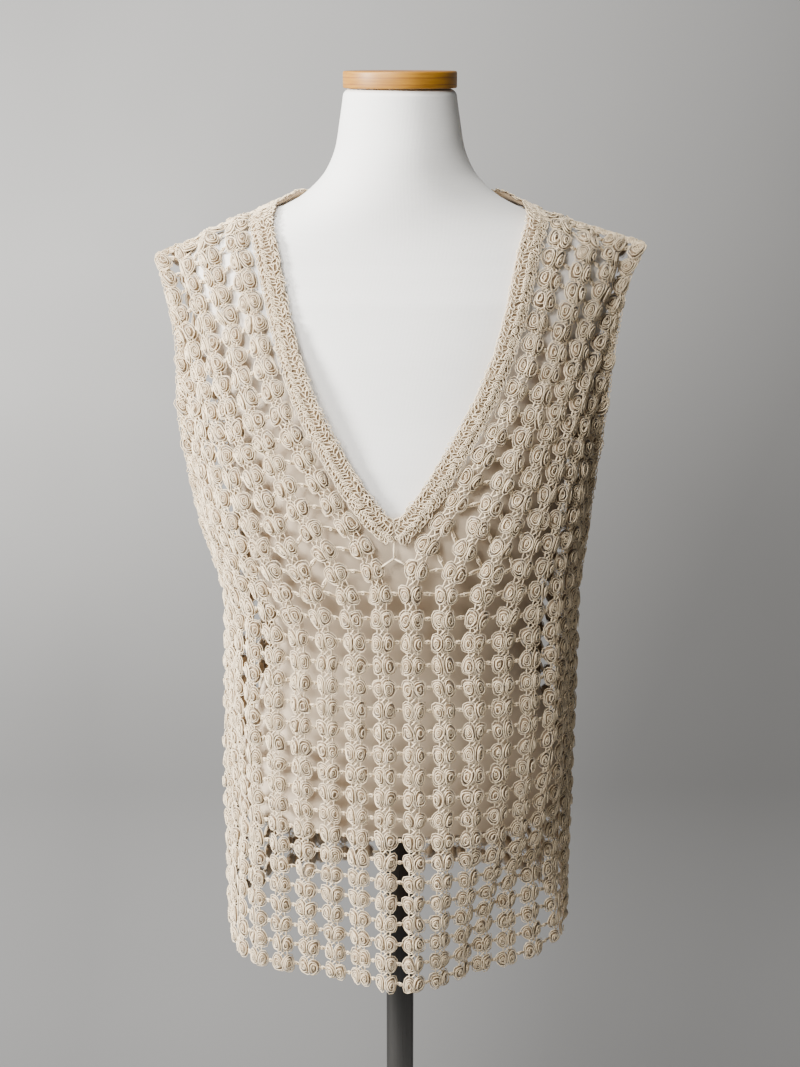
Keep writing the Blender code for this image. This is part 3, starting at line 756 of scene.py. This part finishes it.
# %% Shader maths
class Socket:
    """A value in a node tree: + - * on it add Math nodes and return the new value."""

    def __init__(self, tree, link):
        self.tree, self.link = tree, link

    def node(self, kind, settings=None, **inputs):
        """Any other node of the same tree."""
        return add_node(self.tree, kind, settings, **inputs)

    def math(self, operation, other):
        """A Math node on this value and another."""
        return self.node("ShaderNodeMath", {"operation": operation}, _0=self, _1=other)

    def __add__(self, other):
        return self.math("ADD", other)

    def __sub__(self, other):
        return self.math("SUBTRACT", other)

    def __mul__(self, other):
        return self.math("MULTIPLY", other)

    def clamped(self, low, high):
        """low to high becomes 0 to 1."""
        return self.node("ShaderNodeMapRange", {"clamp": True}, Value=self, From_Min=low,
                         From_Max=high, To_Min=0.0, To_Max=1.0)

    def sine(self):
        """The sine of this value, in radians."""
        return self.node("ShaderNodeMath", {"operation": "SINE"}, _0=self)


def add_node(tree, kind, settings=None, output=0, **inputs):
    """Adds a node, sets its settings first and then its inputs, by name or by _number."""
    node = tree.nodes.new(kind)
    for key, value in (settings or {}).items():
        setattr(node, key, value)
    for key, value in inputs.items():
        name = int(key[1:]) if key[0] == "_" else key.replace("_", " ")
        target = node.inputs[name]
        if isinstance(value, Socket):
            tree.links.new(value.link, target)
        else:
            target.default_value = value
    return Socket(tree, node.outputs[output])


def new_material(name, **numbers):
    """A material with its Principled shader's plain numbers set."""
    material = bpy.data.materials.new(name)
    material.use_nodes = True
    shader = material.node_tree.nodes["Principled BSDF"]
    for key, value in numbers.items():
        shader.inputs[key.replace("_", " ")].default_value = value
    return material, material.node_tree, shader


def feed(tree, shader, **links):
    """Links values to the shader's inputs of these names."""
    for key, value in links.items():
        tree.links.new(value.link, shader.inputs[key.replace("_", " ")])


def object_place(tree):
    """Where a point lies in its object's own coordinates."""
    return add_node(tree, "ShaderNodeTexCoord", output=3)


def coordinates(tree, place):
    """x, y and z of a place as three values."""
    split = add_node(tree, "ShaderNodeSeparateXYZ", Vector=place).link.node
    return [Socket(tree, output) for output in split.outputs]


def noise(tree, place, scale, detail=3.0, roughness=0.55):
    """Soft random patches between 0 and 1, scale of them to a metre."""
    return add_node(tree, "ShaderNodeTexNoise", Vector=place, Scale=scale, Detail=detail,
                    Roughness=roughness)


def mix_colour(tree, factor, first, second):
    """first times 1 - factor plus second times factor."""
    def colour(value):
        return value if isinstance(value, Socket) else (*value, 1)
    return add_node(tree, "ShaderNodeMix", {"data_type": "RGBA"}, 2, _0=factor, _6=colour(first),
                    _7=colour(second))


# %% [markdown]
# ### Cream yarn
# The yarn is matt, twisted cotton. Shade is painted into its colour: its flanks are painted
# browner than its crest, where strands that lie side by side shade each other. Every point was
# given its painted lightness when it was made, kept as an attribute: 1 on the crest, 0.35 on the
# flanks and 0, painted shade, on the ground under the loops. A fine noise stands for the fibres
# and a coarse one for differences between skeins.


# %% Yarn material
def yarn_material():
    """Painted shade from brown in the valleys to cream on the crests, with patches and fibres over it.
    """
    material, tree, shader = new_material("cream_yarn", Roughness=0.85, Sheen_Weight=0.25,
                                          Sheen_Roughness=0.5)
    place = object_place(tree)
    painted_light = add_node(tree, "ShaderNodeAttribute", {"attribute_name": "painted_light"}, output=2)
    patches = noise(tree, place, 9.0, 2.0)
    fibres = noise(tree, place, 900.0, 2.0, 0.7)
    # painted shade: brown where the painted lightness is low, cream on the crests
    base = mix_colour(tree, painted_light.clamped(0.2, 0.85), (0.24, 0.165, 0.092), (1.0, 0.82, 0.55))
    worn = mix_colour(tree, patches.clamped(0.35, 0.7) * 0.3 * painted_light, base, (0.88, 0.72, 0.50))
    fibre = mix_colour(tree, fibres.clamped(0.3, 0.75) * 0.25, worn, (0.58, 0.44, 0.29))
    bump = add_node(tree, "ShaderNodeBump", Height=fibres, Strength=0.5, Distance=0.0004)
    feed(tree, shader, Base_Color=fibre, Normal=bump)
    return material


YARN_MATERIAL = yarn_material()

# %% [markdown]
# ## The panels
# Column 0 lies half a step from the centre line and column 8 is the last before the seam. Each
# armhole is edged with three narrow rows of small loops, worked from its edge inwards, and two rows
# of loops run along each shoulder seam.


# %% Lines evenly cut into places
def along_line(points, out, pitch, start=0.5):
    """Evenly spaced places with the direction along the line, across it and outwards."""
    length = lengths_along(points)
    count = int(length[-1] / pitch)
    places = (np.arange(count) + start) * length[-1] / count

    def read(values, shift=0.0):
        return np.stack([np.interp(places + shift, length, values[:, axis])
                         for axis in range(3)], axis=1)

    normal = read(out)
    forward = read(points, 0.001) - read(points, -0.001)
    normal /= np.linalg.norm(normal, axis=1, keepdims=True)
    forward -= normal * np.sum(forward * normal, axis=1, keepdims=True)
    forward /= np.linalg.norm(forward, axis=1, keepdims=True)
    return read(points), forward, np.cross(normal, forward), normal


WIDE_LOOP = 0.0016         # half width from which a loop holds another


def add_loops(yarns, points, out, pitch, long, wide, rise, steps, lean, start=0.5):
    """A row of small loops along a line, each turned by lean and a little at random.

    Wide loops hold a second, smaller loop."""
    place, forward, across, normal = along_line(points, out, pitch, start)
    count = len(place)
    u, v = turned(forward, across, (lean + random.normal(0, 0.32, count))[:, None])
    place = place + forward * random.normal(0, 0.0005, (count, 1))
    size = random.uniform(0.85, 1.2, count)
    phase = random.uniform(0, 6, count)
    rise = rise + random.normal(0, 0.0004, count)
    add_rings(yarns, place, u, v, normal, long * size, wide * size, rise, steps, YARN * 0.86,
              0.08, phase)
    if wide > WIDE_LOOP:
        add_rings(yarns, place, u, v, normal, long * size * 0.5, wide * size * 0.42,
                  rise + 0.0003, 6, YARN * 0.8, 0.06, phase)


ARMHOLE_ROWS = (
    # how far inside the edge, step along, turn
    (0.0018, 0.0046, 0.3),
    (0.0042, 0.0046, -0.8),
    (0.0062, 0.0052, 0.7),
)
SEAM_ROWS = (
    # how many levels below the shoulder, step along, turn
    (0.03, 0.0052, 0.4),
    (0.17, 0.0056, -0.7),
)


def add_armhole_edge(yarns, side, hand):
    """Rows of loops on a flat ground in painted shade, from the underarm up to the shoulder.

    Near the underarm they start 5 mm further in, where the front's edge meets the back's."""
    level = np.linspace(UNDERARM_LEVEL + 0.05, TOP_LEVEL, 240)
    start = 0.005 * np.clip(1 - (level - UNDERARM_LEVEL) / 0.7, 0, 1)
    add_ribbon(yarns, [cloth(side, hand * (half_arc(level) - inset - start), level)
                       for inset in (0.0016, 0.0064)], -0.0006, 0.0008)
    for inset, pitch, lean in ARMHOLE_ROWS:
        points, out = cloth(side, hand * (half_arc(level) - inset - start), level)
        add_loops(yarns, points, out, pitch, 0.0031, 0.0015, 0.0014, 7, lean * hand)


def add_shoulder_seam(yarns, side, hand):
    """Rows of loops from the neckband to the armhole, where front and back are joined."""
    along = np.linspace(BACK_EDGE_WIDTH, half_arc(TOP_LEVEL)[0] - 0.002, 60)
    for drop, pitch, lean in SEAM_ROWS:
        points, out = cloth(side, hand * along, TOP_LEVEL - drop)
        add_loops(yarns, points, out, pitch, 0.0033, 0.0019, 0.0018, 9, lean)


# %% Crochet the four fields
panels = {}
first_columns, last_columns = {}, {}
for side, name in ((-1, "front"), (1, "back")):
    for hand, word in ((-1, "left"), (1, "right")):
        yarns = Yarns()
        columns = [add_column(yarns, side, rosette_centres(side, step, hand))
                   for step in range(COLUMNS)]
        outer, inner = ("right", "left") if hand * side < 0 else ("left", "right")
        for column, neighbour in zip(columns, columns[1:]):
            add_bars(yarns, column, neighbour, outer, inner)
        first_columns[side, hand], last_columns[side, hand] = columns[0], columns[-1]
        if hand > 0:
            add_bars(yarns, columns[0], first_columns[side, -1], inner, outer)
        if side > 0:
            add_bars(yarns, columns[-1], last_columns[-1, hand], outer, inner)
        add_armhole_edge(yarns, side, hand)
        add_shoulder_seam(yarns, side, hand)
        panels[side, hand] = yarns.mesh(f"crochet_{name}_{word}", YARN_MATERIAL)

# %% [markdown]
# ## The neckband
# The band is worked in six rows of small loops, each row turned another way, on a flat ground
# in painted shade. Its lines follow the V on the front and a shallow curve across the back. Three
# short strands, an upside-down Y, tie the point of the V to the first columns.


# %% Lines of the neckband
POINT_ROUND = 0.007
POINT_LIFT = 1.3


def v_line(share):
    """A line along the V: share 0 is the outer edge of the band and 1 the inner edge.

    The inner lines would meet in a sharp point. Each is lifted there by the root of the sum of
    the squares of its distance from the middle and of POINT_ROUND, less that distance."""
    level = np.linspace(V_LEVEL, TOP_LEVEL, 300)
    along = v_edge(level)
    outer, _ = cloth(-1, along, level)
    length = lengths_along(outer)
    lean = np.arctan2(np.gradient(along), np.gradient(length))
    rate = np.gradient(length) / np.gradient(level)
    reach = BAND_WIDTH * share
    inner_along = along - reach * np.cos(lean)
    blunt = share * POINT_LIFT * (np.hypot(inner_along, POINT_ROUND) - inner_along)
    inner_level = level + (reach * np.sin(lean) + blunt) / rate
    keep = inner_along > 0
    inner_along, inner_level = inner_along[keep], np.minimum(inner_level[keep], TOP_LEVEL)
    return inner_along, inner_level


def band_line(share, hand):
    """Points and outward normals of one line of the band, from the V over a shoulder."""
    along, level = v_line(share)
    front, front_out = cloth(-1, hand * along, level)
    along, level = back_edge(share, np.linspace(0, math.pi / 2, 120))
    back, back_out = cloth(1, hand * along, level)
    return np.concatenate([front, back]), np.concatenate([front_out, back_out])


BAND_ROWS = (
    # share of the width, step along, half length and half width of a loop, height, steps, turn
    (0.04, 0.0052, 0.0038, 0.0013, 0.0018, 9, 0.25),
    (0.19, 0.0050, 0.0033, 0.0014, 0.0026, 9, 0.9),
    (0.37, 0.0058, 0.0033, 0.0018, 0.0032, 9, -0.6),
    (0.57, 0.0050, 0.0033, 0.0014, 0.0027, 9, -1.0),
    (0.81, 0.0052, 0.0032, 0.0016, 0.0027, 9, 0.75),
    (0.96, 0.0052, 0.0039, 0.0014, 0.0020, 9, -0.35),
)


def add_neckband(material):
    """Both halves of the band, from the V's point over the shoulder to behind the neck."""
    yarns = Yarns()
    for hand in (1, -1):
        add_ribbon(yarns, [band_line(share, hand) for share in (0.03, 0.98)], -0.0008, 0.0012, 220)
        for share, pitch, long, wide, rise, steps, turn in BAND_ROWS:
            points, out = band_line(share, hand)
            add_loops(yarns, points, out, pitch, long, wide, rise, steps, turn * hand)
    knots, out = cloth(-1, np.array([0, 0, -0.0125, 0.0125]),
                       V_LEVEL - np.array([-0.03, 0.16, 0.27, 0.25]))
    add_strands(yarns, knots[[0, 1, 1]] + out[:3] * 0.001, knots[1:] + out[:3] * 0.001, out[:3],
                0.0, YARN * 1.9, 2)
    return yarns.mesh("crochet_neckband", material)


neckband = add_neckband(YARN_MATERIAL)

# %% [markdown]
# ## The dress form
# The torso is a padded shell with a tight linen cover. Rings of points follow the same outlines
# as the solid, only finer, and the neck's top edge is rounded over where the cover turns in.


# %% The torso
def add_grid(name, points, material, sharp=45, hollow=False):
    """A closed surface from rings of points (rings, around, 3).

    A hollow one is joined from its last ring to its first, any other has a point at each end."""
    rings, around = points.shape[:2]
    flat = points.reshape(-1, 3)
    quads = ring_faces(rings, around) if hollow else tube_quads(rings, around)
    faces = quads[:, [0, 3, 2, 1]].tolist()
    if not hollow:
        flat = np.concatenate([flat, points[0].mean(0)[None], points[-1].mean(0)[None]])
        low, high = len(flat) - 2, len(flat) - 1
        last = (rings - 1) * around
        for step in range(around):
            after = (step + 1) % around
            faces += [(low, after, step), (high, last + step, last + after)]
    mesh = bpy.data.meshes.new(name)
    mesh.from_pydata(flat.tolist(), [], faces)
    print(name, len(faces), "faces")
    return add_mesh(name, mesh, material, sharp)


def torso_points(around=144, rounding=0.006):
    """Superellipse rings: cosine and sine raised to 2 / power, scaled by each section.

    The last seven rings turn in by a quarter circle of the size of rounding."""
    bottom, top = FORM[0, 0], FORM[-1, 0]
    turn = np.linspace(0.2, 1.57, 7)
    heights = np.concatenate([[bottom], np.linspace(bottom, top - rounding, 170),
                              top - rounding + 0.0058 * np.sin(turn)])
    half, front, back, power = form_section(heights)
    inset = np.zeros(len(heights))
    inset[0] = 0.004
    inset[-len(turn):] = rounding * (1 - np.cos(turn))
    angle = np.arange(around) * 2 * math.pi / around
    cos, sin = np.cos(angle)[None], np.sin(angle)[None]
    bend = 2 / power[:, None]
    x = (half - inset)[:, None] * np.sign(cos) * np.abs(cos) ** bend
    y = (((front + back) / 2 - inset)[:, None] * np.sign(sin) * np.abs(sin) ** bend
         + ((back - front) / 2)[:, None])
    return np.stack([x, y, np.broadcast_to(heights[:, None], x.shape)], axis=2)


# %% [markdown]
# ### Linen
# The cover is a plain weave of off-white linen: threads run up and round, about nine to the
# centimetre, some thicker than others. Sine waves of the coordinates give the threads. Under the
# vest the shade that the cloth casts is painted into the cover as light brown, and this fades out
# towards the shoulders.


# %% Linen material
# edge of the painted shade under the cloth, where it gives way to the V
V_SHIFT = 0.004            # the parabola's point, left of the axis
V_RISE = 0.019             # and above the V's point
V_BEND = 13.0              # its height over the square of the distance from its point


def painted_shade_under_cloth(x, y, z):
    """Painted shade cast by the cloth: 1 where it lies over the form, 0 in the V, a parabola in x and
    z.
    """
    sideways = x + V_SHIFT
    curve = z - V_EDGE[0, 0] - V_RISE - sideways * sideways * V_BEND
    front = curve.clamped(0.006, -0.006)
    behind = y.clamped(-0.01, 0.01) * z.clamped(1.345, 1.325)
    return (front * y.clamped(0.01, -0.01) + behind) * z.clamped(1.372, 1.180)


THREAD = 5600.0            # radians of the threads' wave to a metre
THREAD_DEPTH = 1700.0      # the same along y, where the form turns away


def linen_material():
    """Off-white, with threads, soft patches and brown painted shade under the cloth."""
    material, tree, shader = new_material("linen_cover", Roughness=0.88, Sheen_Weight=0.15)
    place = object_place(tree)
    x, y, z = coordinates(tree, place)
    warp = (x * THREAD + y * THREAD_DEPTH).sine()
    weft = (z * THREAD).sine()
    slubs = noise(tree, add_node(tree, "ShaderNodeMapping", Vector=place,
                                 Scale=(60.0, 60.0, 900.0)), 1.0, 2.0)
    threads = warp * 0.25 + weft * 0.25 + slubs
    soft = noise(tree, place, 14.0, 2.0)
    colour = mix_colour(tree, threads.clamped(0.1, 1.0) * 0.5, (0.85, 0.835, 0.80),
                        (0.95, 0.94, 0.92))
    colour = mix_colour(tree, soft.clamped(0.35, 0.75) * 0.25, colour, (0.88, 0.87, 0.84))
    # painted shade: light brown where the cloth lies over the form
    colour = mix_colour(tree, painted_shade_under_cloth(x, y, z), colour, (0.64, 0.52, 0.38))
    bump = add_node(tree, "ShaderNodeBump", Height=threads, Strength=0.25, Distance=0.0003)
    feed(tree, shader, Base_Color=colour, Normal=bump)
    return material


torso = add_grid("linen_torso", torso_points(), linen_material())

# %% [markdown]
# ## Wood and steel
# The neck cap, the pole, its flange and collar and the base are turned shapes: a profile of radius
# and height, carried round the axis. Small rounds at the edges catch the light.


# %% Turned pieces
def add_turned(name, profile, material, around=96, **grid):
    """Rings of (radius * cosine, radius * sine, height) for each pair of the profile."""
    profile = np.array(profile)
    angle = np.arange(around) * 2 * math.pi / around
    x = profile[:, 0, None] * np.cos(angle)
    y = profile[:, 0, None] * np.sin(angle)
    z = np.broadcast_to(profile[:, 1, None], x.shape)
    return add_grid(name, np.stack([x, y, z], axis=2), material, **grid)


def rounded(box, round_low, round_high, steps=5):
    """Profile of a solid's box from bottom to top with quarter rounds at both edges."""
    radius, low, high = box[1].x, box[0].z, box[1].z
    turn = np.linspace(0, math.pi / 2, steps)
    lower = [(radius - round_low + round_low * math.sin(a), low + round_low - round_low * math.cos(a))
             for a in turn]
    upper = [(radius - round_high + round_high * math.cos(a),
              high - round_high + round_high * math.sin(a)) for a in turn]
    return [(radius * 0.5, low)] + lower + upper + [(radius * 0.5, high)]


def wood_material():
    """Honey-coloured, with grain stretched round the cap and thin dark lines along it."""
    material, tree, shader = new_material("varnished_wood", Roughness=0.5, Coat_Weight=0.08,
                                          Coat_Roughness=0.3)
    place = object_place(tree)
    stretched = add_node(tree, "ShaderNodeMapping", Vector=place, Scale=(14.0, 14.0, 150.0))
    grain = noise(tree, stretched, 1.6, 4.0, 0.6)
    z = coordinates(tree, place)[2]
    lines = (z * 1180.0 + grain * 3.2).sine()
    colour = mix_colour(tree, grain.clamped(0.3, 0.72), (0.26, 0.105, 0.004), (0.46, 0.21, 0.012))
    colour = mix_colour(tree, lines.clamped(0.7, 1.0) * 0.7, colour, (0.17, 0.055, 0.01))
    bump = add_node(tree, "ShaderNodeBump", Height=grain, Strength=0.12, Distance=0.0004)
    feed(tree, shader, Base_Color=colour, Normal=bump)
    return material


def steel_material(name, colour, roughness, squash):
    """Brushed metal: noise squeezed along one direction bends and dulls the reflection."""
    material, tree, shader = new_material(name, Metallic=1.0, Anisotropic=0.4)
    place = object_place(tree)
    stretched = add_node(tree, "ShaderNodeMapping", Vector=place, Scale=squash)
    brush = noise(tree, stretched, 1.0, 3.0)
    tint = mix_colour(tree, brush.clamped(0.3, 0.7), tuple(c * 0.85 for c in colour), colour)
    bump = add_node(tree, "ShaderNodeBump", Height=brush, Strength=0.08, Distance=0.0002)
    feed(tree, shader, Base_Color=tint, Roughness=brush * 0.16 + roughness, Normal=bump)
    return material


CAP = [Vector(corner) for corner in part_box("neck_cap")]
POLE = [Vector(corner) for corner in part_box("pole")]
FLANGE = [Vector(corner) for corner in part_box("pole_flange")]
COLLAR = [Vector(corner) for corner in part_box("base_collar")]
PLATE = [Vector(corner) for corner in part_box("base_plate")]

wood = wood_material()
steel = steel_material("brushed_pole_steel", (0.11, 0.108, 0.105), 0.22, (900.0, 900.0, 12.0))
plate_steel = steel_material("brushed_base_steel", (0.34, 0.34, 0.35), 0.34, (40.0, 700.0, 40.0))
cap = add_turned("wooden_neck_cap", rounded(CAP, 0.0012, 0.0016), wood)
pole = add_turned("steel_pole", rounded(POLE, 0.0004, 0.0004, 2), steel)
flange = add_turned("steel_flange", rounded(FLANGE, 0.001, 0.001), steel)
plate = add_turned("steel_base", rounded(PLATE, 0.001, 0.003), plate_steel, 160)


def add_collar():
    """A turned ring round the pole, closed on itself: outer wall, chamfered top, inner wall."""
    inner = POLE[1].x + 0.0003
    outer, low, high = COLLAR[1].x, COLLAR[0].z, COLLAR[1].z
    profile = [(inner, low), (outer, low), (outer, high - 0.004), (outer - 0.001, high - 0.0022),
               (outer - 0.004, high), (inner, high)]
    return add_turned("steel_collar", profile, steel, sharp=35, hollow=True)


collar = add_collar()

# %% [markdown]
# ## Floor, wall and light
# The vest stands in a plain pale studio. The floor runs up into a wall behind it in one soft
# bend. The main light is a soft disc high on the left. A weaker one fills from the front and a third
# hangs over the vest. Shade is painted into the paper: it is darker towards the lower right, the
# floor and the top.


# %% Studio
FLOOR_REACH = 7.0          # to the front and to both sides
WALL_DEPTH = 0.95          # behind the form's axis
WALL_TOP = 3.2
WALL_BEND = 0.35
# colour of the painted shade on the paper
PAINTED_SHADE_PAPER = (0.15, 0.149, 0.147)


def add_backdrop():
    """Floor, quarter-circle bend and wall: one profile in y and z, drawn out along x.

    Its back lets light and looks through, so that the wall never hides the vest from behind."""
    profile = [(-FLOOR_REACH, 0.0)]
    profile += [(WALL_DEPTH - WALL_BEND + WALL_BEND * math.sin(a), WALL_BEND - WALL_BEND * math.cos(a))
                for a in np.linspace(0, math.pi / 2, 16)]
    profile += [(WALL_DEPTH, WALL_TOP)]
    points = [(x, y, z) for y, z in profile for x in (-FLOOR_REACH, FLOOR_REACH)]
    faces = [(2 * i, 2 * i + 1, 2 * i + 3, 2 * i + 2) for i in range(len(profile) - 1)]
    material, tree, shader = new_material("pale_paper", Roughness=0.95)
    place = object_place(tree)
    spots = noise(tree, place, 3.0, 2.0)
    paper = mix_colour(tree, spots.clamped(0.3, 0.7), (0.31, 0.307, 0.302), (0.33, 0.327, 0.322))
    x, y, z = coordinates(tree, place)
    # painted shade: the paper darker towards the lower right, the floor, the top and the left
    corner = (x - z * 0.38).clamped(-0.80, 0.22) * y.clamped(0.1, 0.6)
    paper_with_painted_shade = mix_colour(tree, corner, paper, PAINTED_SHADE_PAPER)
    left = x.clamped(-0.1, -0.5) * (z.clamped(1.2, 1.8) + z.clamped(1.0, 0.5)) * 0.4
    ends = (z.clamped(1.0, 0.1) * 0.45 + z.clamped(1.2, 2.2) * 0.5 + left) * y.clamped(0.1, 0.6)
    feed(tree, shader, Base_Color=mix_colour(tree, ends, paper_with_painted_shade, (0.15, 0.15, 0.15)))
    clear = tree.nodes.new("ShaderNodeBsdfTransparent")
    mix = tree.nodes.new("ShaderNodeMixShader")
    behind = add_node(tree, "ShaderNodeNewGeometry", output="Backfacing")
    tree.links.new(behind.link, mix.inputs[0])
    tree.links.new(shader.outputs[0], mix.inputs[1])
    tree.links.new(clear.outputs[0], mix.inputs[2])
    tree.links.new(mix.outputs[0], tree.nodes["Material Output"].inputs[0])
    mesh = bpy.data.meshes.new("backdrop")
    mesh.from_pydata(points, [], faces)
    return add_mesh("backdrop", mesh, material)


LIGHTS = (
    # name, place, what it is aimed at, width in metres, watts, colour
    ("key", (-2.1, -0.75, 2.0), (0, 0, 1.1), 0.7, 216, (1.0, 0.985, 0.96)),
    ("fill", (-0.8, -1.5, 2.2), (0, 0, 1.05), 0.7, 46, (1.0, 0.99, 0.97)),
    ("top", (-0.55, -0.6, 2.9), (0.1, 0, 1.25), 0.6, 30, (1.0, 0.99, 0.97)),
)


def add_light(name, place, target, size, power, colour):
    """A soft disc of light that is turned towards its target."""
    data = bpy.data.lights.new(name, "AREA")
    data.shape, data.size, data.energy, data.color = "DISK", size, power, colour
    thing = add_to_scene(name, data)
    thing.location = place
    thing.rotation_euler = (Vector(target) - Vector(place)).to_track_quat("-Z", "Y").to_euler()


backdrop = add_backdrop()
for light in LIGHTS:
    add_light(*light)
world = bpy.data.worlds.new("studio")
world.use_nodes = True
sky = world.node_tree.nodes["Background"]
sky.inputs["Color"].default_value = (0.95, 0.97, 1.0, 1)
seen = add_node(world.node_tree, "ShaderNodeLightPath", output="Is Camera Ray")
world.node_tree.links.new((seen * 0.25 + 0.12).link, sky.inputs["Strength"])
bpy.context.scene.world = world

# %% [markdown]
# ## Joining the frame
# Every piece rides on the one body and replaces the solid that it dresses. The flat size that
# each of the four crochet fields was worked to is printed.


# %% Riding, replacing, printing the fields' sizes
def field_size(side, hand):
    """Flat width, length and area: columns and rows of a field, each times its pitch."""
    rows = [len(rosette_centres(side, step, hand)["level"]) for step in range(COLUMNS)]
    return (len(rows) * COLUMN, max(rows) * ROW), sum(rows) * COLUMN * ROW


for (side, hand), piece in panels.items():
    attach(piece, "root")
    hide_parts("vest_front" if side < 0 else "vest_back")
    flat, area = field_size(side, hand)
    print(piece.name, "flat", flat, "area", area)
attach(neckband, "root")
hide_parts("neckband")
for piece, node, slot in ((torso, "dress_form", "linen"), (cap, "neck_cap", "wood"),
                          (pole, "pole", "steel"), (flange, "pole_flange", "steel"),
                          (collar, "base_collar", "steel"), (plate, "base_plate", "plate")):
    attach(piece, "root")
    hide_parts(node)
